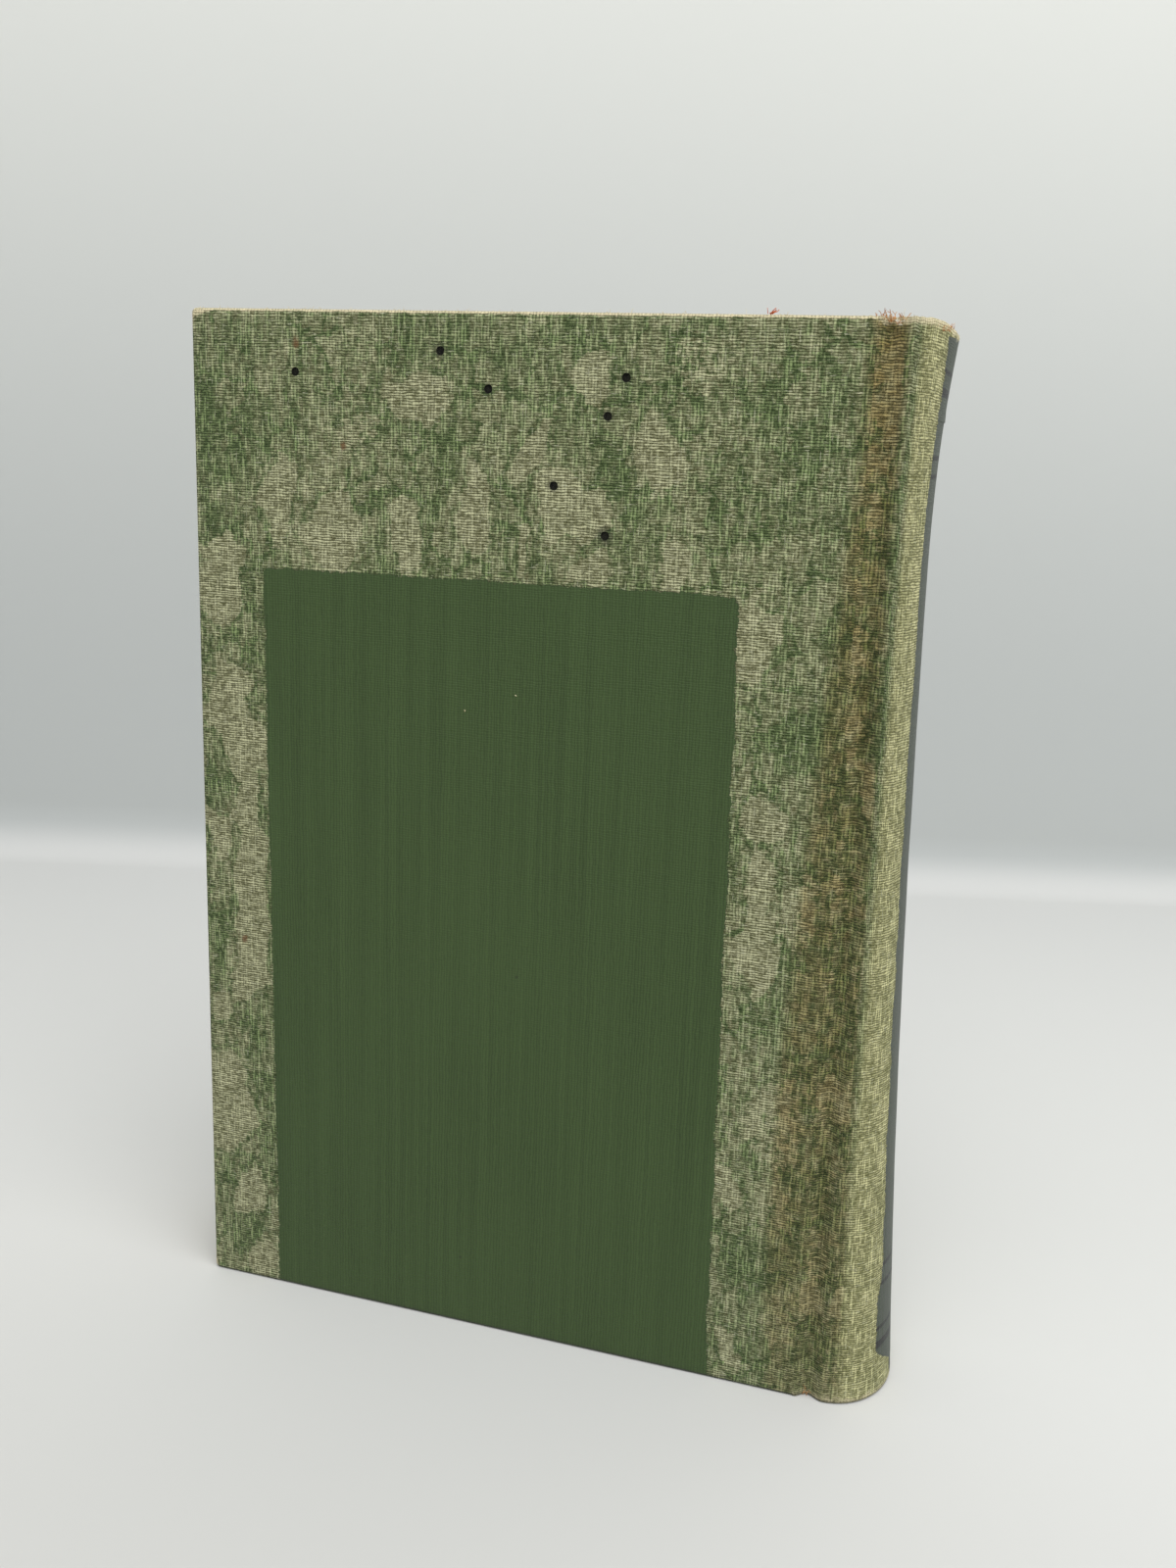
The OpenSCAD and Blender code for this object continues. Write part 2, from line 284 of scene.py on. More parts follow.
@contextmanager
def editing(obj: bpy.types.Object, kind: str = "VERT") -> Iterator[None]:
    """Opens an object's mesh in edit mode.

    Args:
        obj: The object.
        kind: Select mode, VERT, EDGE or FACE.
    """
    activate(obj)
    bpy.ops.object.mode_set(mode="EDIT")
    bpy.ops.mesh.select_mode(type=kind)
    yield
    bpy.ops.object.mode_set(mode="OBJECT")


def choose(obj: bpy.types.Object, parts: str, test: Callable[..., bool]) -> None:
    """Selects, in edit mode, the parts of a mesh that pass a test.

    Args:
        obj: The object in edit mode.
        parts: verts or edges.
        test: Takes one part and says whether it is selected.
    """
    bpy.ops.mesh.select_all(action="DESELECT")
    mesh = bmesh.from_edit_mesh(obj.data)
    for part in getattr(mesh, parts):
        if test(part):
            part.select_set(True)
    mesh.select_flush(True)
    bmesh.update_edit_mesh(obj.data)


def middle(edge: bmesh.types.BMEdge) -> Vector:
    """Middle of an edge."""
    return (edge.verts[0].co + edge.verts[1].co) / 2


def add_grid(name: str, columns: int, rows: int, low: Vector, high: Vector) -> bpy.types.Object:
    """Adds an upright grid that faces -Y.

    Args:
        name: Name of the piece.
        columns: Number of faces across.
        rows: Number of faces up.
        low: Lowest corner.
        high: Highest corner, at the same y.

    Returns:
        The new object, with its place in its mesh.
    """
    deselect()
    upright = (math.pi / 2, 0, 0)
    bpy.ops.mesh.primitive_grid_add(
        x_subdivisions=columns, y_subdivisions=rows, size=1, rotation=upright, location=(low + high) / 2
    )
    obj = bpy.context.object
    obj.name = name
    obj.data.name = name
    obj.scale = (high.x - low.x, high.z - low.z, 1)
    bpy.ops.object.transform_apply(location=True, rotation=True, scale=True)
    return obj


def add_sheet(name: str, columns: int, rows: int) -> bpy.types.Object:
    """Adds a grid whose points stand at whole millimetres, so that they tell their column and row."""
    return add_grid(name, columns, rows, Vector((0, 0, 0)), Vector((columns * MM, 0, rows * MM)))


def points_of(obj: bpy.types.Object) -> np.ndarray:
    """Vertices of a mesh as an array."""
    co = np.zeros(len(obj.data.vertices) * 3, np.float32)
    obj.data.vertices.foreach_get("co", co)
    return co.reshape(-1, 3).astype(float)


def set_points(obj: bpy.types.Object, points: np.ndarray) -> None:
    """Moves the vertices of a mesh to new places."""
    obj.data.vertices.foreach_set("co", np.asarray(points, np.float32).ravel())
    obj.data.update()


def thicken(obj: bpy.types.Object, thickness: float, inner: int = 0) -> None:
    """Gives a sheet its thickness, inwards, and applies it.

    Args:
        obj: The sheet.
        thickness: Its thickness in millimetres.
        inner: How many slots further on its inner face finds its material.
    """
    activate(obj)
    modifier = obj.modifiers.new("Thickness", "SOLIDIFY")
    modifier.thickness = thickness * MM
    modifier.offset = -1
    modifier.use_even_offset = False
    modifier.material_offset = inner
    bpy.ops.object.modifier_apply(modifier=modifier.name)


def turn_over(obj: bpy.types.Object) -> None:
    """Mirrors a piece of the back half on to the front half."""
    with editing(obj):
        bpy.ops.mesh.select_all(action="SELECT")
        bpy.ops.transform.mirror(constraint_axis=(False, True, False), center_override=(0, 0, 0))
        bpy.ops.mesh.normals_make_consistent(inside=False)


def smooth_shade(obj: bpy.types.Object, angle: float = 40.0) -> None:
    """Shades a piece smooth, with creases kept above an angle in degrees."""
    activate(obj)
    bpy.ops.object.shade_smooth_by_angle(angle=math.radians(angle))


def write_values(obj: bpy.types.Object, name: str, values: Sequence[float] | np.ndarray) -> None:
    """Writes one number for each vertex as a named attribute."""
    attribute = obj.data.attributes.get(name) or obj.data.attributes.new(name, "FLOAT", "POINT")
    attribute.data.foreach_set("value", np.asarray(values, np.float32))


def write_map(obj: bpy.types.Object, name: str, at: Callable[[int, int], tuple[float, float]]) -> None:
    """Writes a map of the surface in millimetres.

    Args:
        obj: The object.
        name: Name of the map.
        at: Takes a face's index and a vertex's index and gives the place on the map.
    """
    layer = obj.data.uv_layers.get(name) or obj.data.uv_layers.new(name=name)
    for face in obj.data.polygons:
        for loop in face.loop_indices:
            layer.data[loop].uv = at(face.index, obj.data.loops[loop].vertex_index)


def finish_piece(
    obj: bpy.types.Object, slot: str, material: bpy.types.Material, *nodes: str
) -> bpy.types.Object:
    """Gives a piece its material and hides the solids that it stands for.

    Args:
        obj: The piece.
        slot: The record's material slot; not used.
        material: Its material.
        nodes: Names of the solids that it replaces.

    Returns:
        The piece.
    """
    for index, _ in enumerate(obj.data.materials):
        if obj.data.materials[index] is None:
            obj.data.materials[index] = material
    if not obj.data.materials:
        obj.data.materials.append(material)
    if nodes:
        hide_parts(*nodes)
    LOG.info("%s: %d vertices, %d faces", obj.name, len(obj.data.vertices), len(obj.data.polygons))
    return obj


# Node work


def tint(red: int, green: int, blue: int) -> tuple[float, float, float, float]:
    """A colour as it shows, from 0 to 255, as the shader's own values."""

    def value(part: float) -> float:
        """One part of the colour."""
        share = part / 255
        return share / 12.92 if share <= 0.04045 else ((share + 0.055) / 1.055) ** 2.4

    return value(red), value(green), value(blue), 1.0


Socket = bpy.types.NodeSocket
Feed = Socket | float | tuple


class Graph:
    """Short ways to add and join nodes in one tree."""

    def __init__(self, tree: bpy.types.NodeTree) -> None:
        """Keeps the tree that nodes are added to."""
        self.tree = tree

    def node(self, kind: str, **settings: object) -> bpy.types.Node:
        """Adds a node and sets what is named on it."""
        made = self.tree.nodes.new(kind)
        for name, value in settings.items():
            setattr(made, name, value)
        return made

    def feed(self, node: bpy.types.Node, socket: int | str, value: Feed) -> None:
        """Links a socket or sets its value."""
        if isinstance(value, Socket):
            self.tree.links.new(value, node.inputs[socket])
        else:
            node.inputs[socket].default_value = value

    def math(self, operation: str, *values: Feed, clamp: bool = False) -> Socket:
        """Adds a sum of numbers."""
        node = self.node("ShaderNodeMath", operation=operation, use_clamp=clamp)
        for index, value in enumerate(values):
            self.feed(node, index, value)
        return node.outputs[0]

    def times(self, first: Feed, second: Feed) -> Socket:
        """Adds a product."""
        return self.math("MULTIPLY", first, second)

    def scaled(self, value: Feed, scale: Feed, base: Feed) -> Socket:
        """Adds a value times a scale, plus a base."""
        return self.math("MULTIPLY_ADD", value, scale, base)

    def vector(self, operation: str, first: Feed, second: Feed) -> Socket:
        """Adds a sum of vectors."""
        node = self.node("ShaderNodeVectorMath", operation=operation)
        self.feed(node, 0, first)
        self.feed(node, 1, second)
        return node.outputs["Value" if operation == "DISTANCE" else "Vector"]

    def mix(self, factor: Feed, first: Feed, second: Feed, blend: str = "MIX") -> Socket:
        """Adds a mix of two colours."""
        node = self.node("ShaderNodeMix", data_type="RGBA", blend_type=blend)
        self.feed(node, 0, factor)
        self.feed(node, 6, first)
        self.feed(node, 7, second)
        return node.outputs[2]

    def step(self, value: Feed, low: Feed, high: Feed, start: float = 0.0, end: float = 1.0) -> Socket:
        """Adds a smooth step of a value between two limits."""
        node = self.node("ShaderNodeMapRange", interpolation_type="SMOOTHSTEP")
        for index, item in enumerate((value, low, high, start, end)):
            self.feed(node, index, item)
        return node.outputs[0]

    def noise(self, vector: Feed, scale: float, detail: float = 2.0, rough: float = 0.5) -> Socket:
        """Adds noise from 0 to 1."""
        node = self.node("ShaderNodeTexNoise")
        self.feed(node, "Vector", vector)
        self.feed(node, "Scale", scale)
        self.feed(node, "Detail", detail)
        self.feed(node, "Roughness", rough)
        return node.outputs[0]

    def stretched(self, vector: Feed, size: tuple[float, float, float], detail: float = 2.0) -> Socket:
        """Adds noise whose features have these sizes in the vector's units."""
        scaled = self.vector("MULTIPLY", vector, tuple(1 / part for part in size))
        return self.noise(scaled, 1.0, detail)

    def centred(self, value: Feed) -> Socket:
        """Takes a value from 0 to 1 down to -0.5 to 0.5."""
        return self.math("SUBTRACT", value, 0.5)

    def cells(self, vector: Feed, feature: str) -> Socket:
        """Adds cells one unit across: the distance to their edges, or one random tone for each of them."""
        node = self.node("ShaderNodeTexVoronoi", voronoi_dimensions="2D", feature=feature)
        self.feed(node, "Vector", vector)
        self.feed(node, "Scale", 1.0)
        return node.outputs["Distance" if feature == "DISTANCE_TO_EDGE" else "Color"]

    def join(self, x: Feed, y: Feed, z: Feed = 0.0) -> Socket:
        """Adds a vector made of three numbers."""
        node = self.node("ShaderNodeCombineXYZ")
        for index, value in enumerate((x, y, z)):
            self.feed(node, index, value)
        return node.outputs[0]

    def split(self, vector: Feed) -> bpy.types.Node:
        """Adds the three numbers of a vector."""
        node = self.node("ShaderNodeSeparateXYZ")
        self.feed(node, 0, vector)
        return node

    def attribute(self, name: str) -> Socket:
        """Adds a number that the mesh carries."""
        return self.node("ShaderNodeAttribute", attribute_name=name).outputs["Fac"]

    def group(self, tree: bpy.types.NodeTree, **values: Feed) -> bpy.types.Node:
        """Adds a node group; underscores in the names stand for spaces."""
        node = self.node("ShaderNodeGroup", node_tree=tree)
        for name, value in values.items():
            self.feed(node, name.replace("_", " "), value)
        return node

    def millimetres(self) -> Socket:
        """Adds the object's own coordinates in millimetres."""
        coordinates = self.node("ShaderNodeTexCoord").outputs["Object"]
        return self.vector("MULTIPLY", coordinates, (1 / MM, 1 / MM, 1 / MM))

    def bump(self, height: Feed, strength: float, distance: float) -> Socket:
        """Adds relief from a height; the distance is in millimetres."""
        node = self.node("ShaderNodeBump")
        self.feed(node, "Height", height)
        self.feed(node, "Strength", strength)
        self.feed(node, "Distance", distance * MM)
        return node.outputs[0]


def new_material(name: str) -> tuple[bpy.types.Material, Graph, bpy.types.Node]:
    """Makes a material, with a graph to fill it with and its shader."""
    material = bpy.data.materials.new(name)
    material.use_nodes = True
    return material, Graph(material.node_tree), material.node_tree.nodes["Principled BSDF"]


def new_group(name: str, takes: dict[str, str], gives: dict[str, str]) -> tuple[bpy.types.NodeTree, Graph]:
    """Makes an empty node group.

    Args:
        name: Name of the group.
        takes: Input names and their socket kinds.
        gives: Output names and their socket kinds.

    Returns:
        The group and a graph to fill it with.
    """
    tree = bpy.data.node_groups.new(name, "ShaderNodeTree")
    for direction, sockets in (("INPUT", takes), ("OUTPUT", gives)):
        for socket, kind in sockets.items():
            tree.interface.new_socket(socket, in_out=direction, socket_type=f"NodeSocket{kind}")
    return tree, Graph(tree)


class Effects:
    """Node groups that several materials share."""

    def __init__(self) -> None:
        """Builds each group once."""
        self.weave = self._weave()
        self.fibre = self._fibre()

    @staticmethod
    def _weave() -> bpy.types.NodeTree:
        """Plain weave: height of the threads and the tone of the one on top."""
        tree, g = new_group(
            "Weave", {"Map": "Vector", "Warp pitch": "Float", "Weft pitch": "Float", "Waver": "Float"},
            dict.fromkeys(("Height", "Tone", "Warp run", "Weft run", "Long run", "Rib", "Row"), "Float"),
        )
        given = g.node("NodeGroupInput")
        given_map = given.outputs["Map"]
        parts = g.split(given_map)
        sway_a = g.centred(g.stretched(given_map, (3.0, 16.0, 1.0), 3))
        sway_b = g.centred(g.stretched(given_map, (14.0, 3.0, 1.0), 3))
        jitter_a = g.centred(g.stretched(given_map, (0.8, 2.4, 1.0), 2))
        jitter_b = g.centred(g.stretched(given_map, (2.4, 0.8, 1.0), 2))
        sway_a = g.scaled(jitter_a, 0.9, sway_a)
        sway_b = g.scaled(jitter_b, 1.1, sway_b)
        waver = given.outputs["Waver"]
        across = g.math("DIVIDE", parts.outputs[0], given.outputs["Warp pitch"])
        up = g.math("DIVIDE", parts.outputs[1], given.outputs["Weft pitch"])
        a = g.scaled(sway_a, waver, across)
        b = g.scaled(sway_b, waver, up)
        column, row = g.math("FLOOR", a), g.math("FLOOR", b)
        weft_round = g.math("SINE", g.times(g.math("FRACT", b), math.pi))
        warp_round = g.math("SINE", g.times(g.math("FRACT", a), math.pi))
        weft_over = g.math("SINE", g.times(g.math("ADD", a, row), math.pi))
        warp_over = g.math("SINE", g.times(g.math("ADD", b, column), math.pi))
        weft = g.times(weft_round, g.scaled(weft_over, 0.42, 0.58))
        warp = g.times(warp_round, g.scaled(warp_over, -0.42, 0.5))
        weft_tone = g.noise(g.join(g.times(a, 0.22), g.times(row, 3.618)), 1.0, 1)
        warp_tone = g.noise(g.join(g.times(column, 4.382), g.times(b, 0.2)), 1.0, 1)
        on_top = g.math("GREATER_THAN", weft, warp)
        tone_gap = g.math("SUBTRACT", weft_tone, warp_tone)
        out = g.node("NodeGroupOutput")
        g.feed(out, "Height", g.math("MAXIMUM", weft, warp))
        g.feed(out, "Tone", g.scaled(tone_gap, on_top, warp_tone))
        for name, first, second in (
            ("Warp run", (column, 5.618), (b, 0.12)),
            ("Weft run", (a, 0.4), (row, 6.382)),
            ("Long run", (column, 7.618), (b, 0.006)),
        ):
            thread = g.join(g.times(*first), g.times(*second))
            g.feed(out, name, g.noise(thread, 1.0, 1))
        g.feed(out, "Rib", warp_round)
        g.feed(out, "Row", weft_round)
        return tree

    @staticmethod
    def _fibre() -> bpy.types.NodeTree:
        """Pulp of paper and board: mottle and fine fibres, from coordinates in millimetres."""
        tree, g = new_group(
            "Fibre", {"Place": "Vector", "Size": "Float"},
            dict.fromkeys(("Mottle", "Fibres", "Spots"), "Float"),
        )
        given = g.node("NodeGroupInput")
        size = g.node("ShaderNodeVectorMath", operation="SCALE")
        g.feed(size, 0, given.outputs["Place"])
        g.feed(size, "Scale", given.outputs["Size"])
        place = size.outputs[0]
        spots = g.noise(place, 0.16, 3, 0.6)
        out = g.node("NodeGroupOutput")
        g.feed(out, "Mottle", g.noise(place, 0.05, 3, 0.55))
        g.feed(out, "Fibres", g.noise(place, 3.2, 3, 0.6))
        g.feed(out, "Spots", g.step(spots, 0.66, 0.76))
        return tree


@dataclass(frozen=True)
class ClothFinish:
    """Colours of the book cloth as they show, with painted light and shade on its threads and a painted
    contact shadow along its foot, and how its threads stand out.
    """

    dyed: tuple[int, int, int] = (44, 61, 27)
    # Paler streak tone, which is also the painted light along the crown of each warp thread.
    dyed_streak_and_rib_light: tuple[int, int, int] = (64, 84, 44)
    # Each low and high pair below is a dark, shaded end and a pale, lit end: painted light and shade on the
    # threads, mixed with random tone.
    green_dark_and_shaded: tuple[int, int, int] = (44, 60, 22)
    green_pale_and_lit: tuple[int, int, int] = (134, 152, 100)
    bare_dark_and_shaded: tuple[int, int, int] = (80, 80, 44)
    bare_pale_and_lit: tuple[int, int, int] = (194, 194, 154)
    spine_dark_and_shaded: tuple[int, int, int] = (104, 104, 60)
    spine_pale_and_lit: tuple[int, int, int] = (216, 212, 158)
    fuzz: tuple[int, int, int] = (200, 201, 170)
    stain: tuple[int, int, int] = (218, 192, 152)
    slate: tuple[int, int, int] = (66, 72, 64)
    cream: tuple[int, int, int] = (222, 210, 172)
    rule: tuple[int, int, int] = (30, 32, 30)
    rust: tuple[int, int, int] = (110, 74, 42)
    # Dark dirt for the marks round the beetle holes; the same colour is also the painted contact shadow along
    # the foot.
    grime: tuple[int, int, int] = (40, 44, 30)
    warp_pitch: float = 0.58
    weft_pitch: float = 0.45
    rule_heights: tuple[float, ...] = (183.4, 180.0, 169.4, 166.1, 25.4, 21.6, 12.6, 9.2)
    rule_half: float = 0.55
    marks: tuple[tuple[float, float, float, float], ...] = (
        (-100.3, 184.3, 0.8, 1.2), (-91.3, 167.2, 0.7, 1.0),
        (-112.6, 73.2, 0.8, 1.0), (-46.8, 110.8, 0.4, 1.5),
    )
    halos: tuple[tuple[float, float, float], ...] = (
        (-43.0, 154.3, 2.0), (-43.3, 173.7, 1.2), (-73.2, 183.5, 1.5), (-64.4, 177.5, 1.1),
        (-40.4, 179.9, 1.2), (-52.3, 162.1, 1.3), (-66.5, 14.2, 0.4), (-56.5, 73.7, 0.35),
    )

    def build(self, effects: Effects) -> bpy.types.Material:
        """Makes the material.

        Args:
            effects: The shared node groups.

        Returns:
            The cloth's material.
        """
        material, g, shader = new_material("Worn book cloth")
        cloth = g.node("ShaderNodeUVMap", uv_map=CLOTH_MAP).outputs[0]
        weave = g.group(
            effects.weave, Map=cloth, Warp_pitch=self.warp_pitch, Weft_pitch=self.weft_pitch, Waver=1.2
        )
        spine = g.attribute(Mask.SPINE.value)
        stain = g.attribute(Mask.STAIN.value)
        bare = self._bareness(g, cloth)
        light = self._threads(g, cloth, weave, bare)
        # Painted light and shade on the threads: each colour runs from its shaded copy to its lit copy as the
        # light on the threads rises.
        low = g.mix(bare, tint(*self.green_dark_and_shaded), tint(*self.bare_dark_and_shaded))
        high = g.mix(bare, tint(*self.green_pale_and_lit), tint(*self.bare_pale_and_lit))
        pale = g.times(spine, 0.85)
        low = g.mix(pale, low, tint(*self.spine_dark_and_shaded))
        high = g.mix(pale, high, tint(*self.spine_pale_and_lit))
        worn = g.mix(light, low, high)
        across = g.step(g.stretched(cloth, (1.6, 0.28, 1.0), 2), 0.62, 0.7, 0.0, 0.6)
        along = g.step(g.stretched(cloth, (0.28, 3.2, 1.0), 2), 0.64, 0.72, 0.0, 0.5)
        worn = g.mix(g.math("MAXIMUM", across, along), worn, tint(*self.fuzz))
        damp = g.times(stain, g.step(g.noise(cloth, 0.35, 3, 0.6), 0.25, 0.65, 0.5, 1.0))
        worn = g.mix(damp, worn, g.mix(1.0, worn, tint(*self.stain), "MULTIPLY"))
        return self._finish(material, g, shader, cloth, weave, worn, light, spine)

    @staticmethod
    def _bareness(g: Graph, cloth: Socket) -> Socket:
        """How bare the cloth is: cells parted by veins of dye, streaks along the threads, crisp patches."""
        wear = g.attribute(Mask.WEAR.value)
        sway_x = g.centred(g.noise(cloth, 0.28, 3, 0.6))
        sway_y = g.centred(g.noise(g.vector("ADD", cloth, (40.0, 17.0, 5.0)), 0.28, 3, 0.6))
        bent = g.vector("ADD", cloth, g.vector("MULTIPLY", g.join(sway_x, sway_y), (9.0, 9.0, 0.0)))
        place = g.vector("MULTIPLY", bent, (0.19, 0.13, 0.0))
        vein = g.step(g.cells(place, "DISTANCE_TO_EDGE"), 0.13, 0.02)
        patchy = g.step(g.noise(cloth, 0.11, 2), 0.42, 0.6)
        level = g.scaled(g.centred(g.cells(place, "F1")), 0.36, wear)
        level = g.scaled(g.times(vein, patchy), -0.5, level)
        for change, gain in (
            (g.noise(cloth, 0.6, 4, 0.6), 0.55),
            (g.stretched(cloth, (1.0, 6.0, 1.0), 3), 0.95),
            (g.stretched(cloth, (3.0, 0.8, 1.0), 2), 0.4),
        ):
            level = g.scaled(g.centred(change), gain, level)
        torn = g.scaled(g.centred(g.noise(cloth, 0.8, 4, 0.7)), 0.5, wear)
        patch = g.step(torn, 0.7, 0.76)
        rim = g.times(g.step(torn, 0.56, 0.68), g.math("SUBTRACT", 1.0, patch))
        level = g.scaled(rim, -0.3, level)
        return g.math("MAXIMUM", g.step(level, 0.08, 0.95), g.times(patch, 0.92))

    @staticmethod
    def _threads(
        g: Graph, cloth: Socket, weave: bpy.types.Node, bare: Socket
    ) -> Socket:
        """Light on the threads, from 0 to 1: short dashes across bare cloth, longer lines up dyed cloth."""
        row, rib = g.step(weave.outputs["Row"], 0.1, 0.95), g.step(weave.outputs["Rib"], 0.2, 0.95)
        dash = g.times(row, g.step(weave.outputs["Weft run"], 0.36, 0.6, 0.3, 1.0))
        line = g.times(rib, g.step(weave.outputs["Warp run"], 0.46, 0.62))
        light = g.times(dash, g.scaled(bare, 0.45, 0.5))
        light = g.scaled(line, g.scaled(bare, -0.35, 0.75), light)
        light = g.scaled(g.centred(g.noise(cloth, 2.4, 3, 0.7)), 1.3, light)
        broad = g.centred(g.noise(cloth, 0.8, 3, 0.7))
        return g.math("MULTIPLY_ADD", broad, 0.35, light, clamp=True)

    def _finish(
        self, material: bpy.types.Material, g: Graph, shader: bpy.types.Node, cloth: Socket,
        weave: bpy.types.Node, worn: Socket, light: Socket, spine: Socket
    ) -> bpy.types.Material:
        """Adds the unworn surface, the marks, a painted contact shadow along the foot and the relief, and
        feeds the shader.
        """
        height, tone = weave.outputs["Height"], weave.outputs["Tone"]
        for x, z, width, length in self.marks:
            worn = self._spot(g, cloth, worn, (x, z), (width, length), self.rust, 0.75)

        ribs = weave.outputs["Long run"]
        broad = g.stretched(cloth, (26.0, 45.0, 1.0), 2)
        # Painted light and shade on the dyed cloth: each warp thread is lit along its crown and shaded in the
        # gaps beside it, with a random tone for each column.
        rib = g.step(weave.outputs["Rib"], 0.1, 0.9)
        shade = g.scaled(rib, 0.6, g.step(ribs, 0.25, 0.75, 0.0, 0.4))
        dyed = g.mix(shade, tint(*self.dyed), tint(*self.dyed_streak_and_rib_light))
        dyed = g.mix(g.step(broad, 0.3, 0.7, 0.0, 0.25), dyed, tint(*self.dyed_streak_and_rib_light))
        slate = g.mix(g.step(ribs, 0.3, 0.7, 0.0, 0.3), tint(*self.slate), tint(*self.dyed))
        dyed = g.mix(spine, dyed, slate)

        ragged = g.times(g.centred(g.noise(cloth, 1.1, 4, 0.7)), 1.0)
        for run in ("Warp run", "Weft run"):
            ragged = g.scaled(g.centred(weave.outputs[run]), 0.8, ragged)
        kept = g.attribute(Mask.INTACT.value)
        intact = g.step(g.math("ADD", ragged, kept), -0.06, 0.06)
        base = g.mix(intact, worn, dyed)
        rules = g.times(self._rules(g, cloth), spine)
        left = g.times(g.step(g.noise(cloth, 0.9, 2, 0.6), 0.58, 0.66), g.step(kept, -5.0, -1.5))
        shown = g.math("MAXIMUM", intact, g.times(left, 0.85))
        base = g.mix(g.times(rules, shown), base, tint(*self.rule))
        for x, z, size in self.halos:
            base = self._spot(g, cloth, base, (x, z), (size, size), self.grime, 0.6)
        uneven = g.centred(g.noise(cloth, 0.9, 3, 0.7))
        rub = g.scaled(uneven, 0.9, g.attribute(Mask.RUB.value))
        rubbed = g.step(rub, 0.45, 0.85)
        base = g.mix(g.times(rubbed, g.step(height, 0.1, 0.6, 0.45, 1.0)), base, tint(*self.cream))
        # Painted contact shadow: the lowest millimetre of the cloth darkens to the grime colour, where its
        # edge meets the floor.
        foot_shadow = g.step(g.split(g.millimetres()).outputs[2], 1.0, 0.2, 0.0, 0.8)
        base = g.mix(foot_shadow, base, tint(*self.grime))

        flat = g.scaled(intact, -0.8, 1.0)
        relief = g.times(g.times(height, g.scaled(tone, 0.8, 0.6)), flat)
        relief = g.scaled(g.times(ribs, intact), 0.4, relief)
        relief = g.scaled(g.times(light, flat), 0.6, relief)
        lumps = g.times(g.stretched(cloth, (1.4, 0.9, 1.0), 4), flat)
        relief = g.scaled(lumps, 0.9, relief)
        g.feed(shader, "Base Color", base)
        g.feed(shader, "Roughness", g.scaled(intact, -0.33, 0.88))
        g.feed(shader, "Normal", g.bump(relief, 0.9, 0.26))
        shader.inputs["Specular IOR Level"].default_value = 0.3
        shader.inputs["Sheen Weight"].default_value = 0.05
        shader.inputs["Sheen Roughness"].default_value = 0.5
        return material

    @staticmethod
    def _spot(
        g: Graph, cloth: Socket, base: Socket, at: tuple[float, float],
        size: tuple[float, float], colour: tuple[int, int, int], strength: float
    ) -> Socket:
        """Adds one soft-edged spot to a colour, at a place of the cloth in millimetres."""
        away = g.vector("MULTIPLY", g.vector("SUBTRACT", cloth, (*at, 0)), (1 / size[0], 1 / size[1], 0))
        bent = g.scaled(g.noise(cloth, 1.2, 3), 0.9, g.vector("DISTANCE", away, (0, 0, 0)))
        return g.mix(g.times(g.step(bent, 1.6, 0.7), strength), base, tint(*colour))

    def _rules(self, g: Graph, cloth: Socket) -> Socket:
        """Plain rules across the spine, as a mask of the height."""
        ramp = g.node("ShaderNodeValToRGB")
        ramp.color_ramp.interpolation = "CONSTANT"
        bands = ramp.color_ramp.elements
        bands[0].color = (0, 0, 0, 1)
        bands.remove(bands[1])
        for z in sorted(self.rule_heights):
            bands.new((z - self.rule_half) / SIZES.board_h).color = (1, 1, 1, 1)
            bands.new((z + self.rule_half) / SIZES.board_h).color = (0, 0, 0, 1)
        wobble = g.times(g.centred(g.noise(cloth, 0.7, 2)), 0.5)
        lifted = g.math("ADD", g.split(cloth).outputs[1], wobble)
        g.feed(ramp, 0, g.math("DIVIDE", lifted, SIZES.board_h))
        return ramp.outputs[0]


@dataclass(frozen=True)
class PulpFinish:
    """Paper or board: its colours as they show and its relief."""

    name: str
    light: tuple[int, int, int]
    dark: tuple[int, int, int]
    foxed: tuple[int, int, int] = (150, 112, 66)
    spots: float = 0.35
    size: float = 1.0
    relief: float = 0.04
    roughness: float = 0.85

    def build(self, effects: Effects) -> bpy.types.Material:
        """Makes the material from the shared fibre group."""
        material, g, shader = new_material(self.name)
        pulp = g.group(effects.fibre, Place=g.millimetres(), Size=self.size)
        base = g.mix(g.step(pulp.outputs["Mottle"], 0.3, 0.75), tint(*self.light), tint(*self.dark))
        base = g.mix(g.step(pulp.outputs["Fibres"], 0.55, 0.8, 0.0, 0.3), base, tint(*self.dark))
        base = g.mix(g.times(pulp.outputs["Spots"], self.spots), base, tint(*self.foxed))
        g.feed(shader, "Base Color", base)
        g.feed(shader, "Normal", g.bump(pulp.outputs["Fibres"], 0.5, self.relief))
        shader.inputs["Roughness"].default_value = self.roughness
        shader.inputs["Specular IOR Level"].default_value = 0.3
        return material


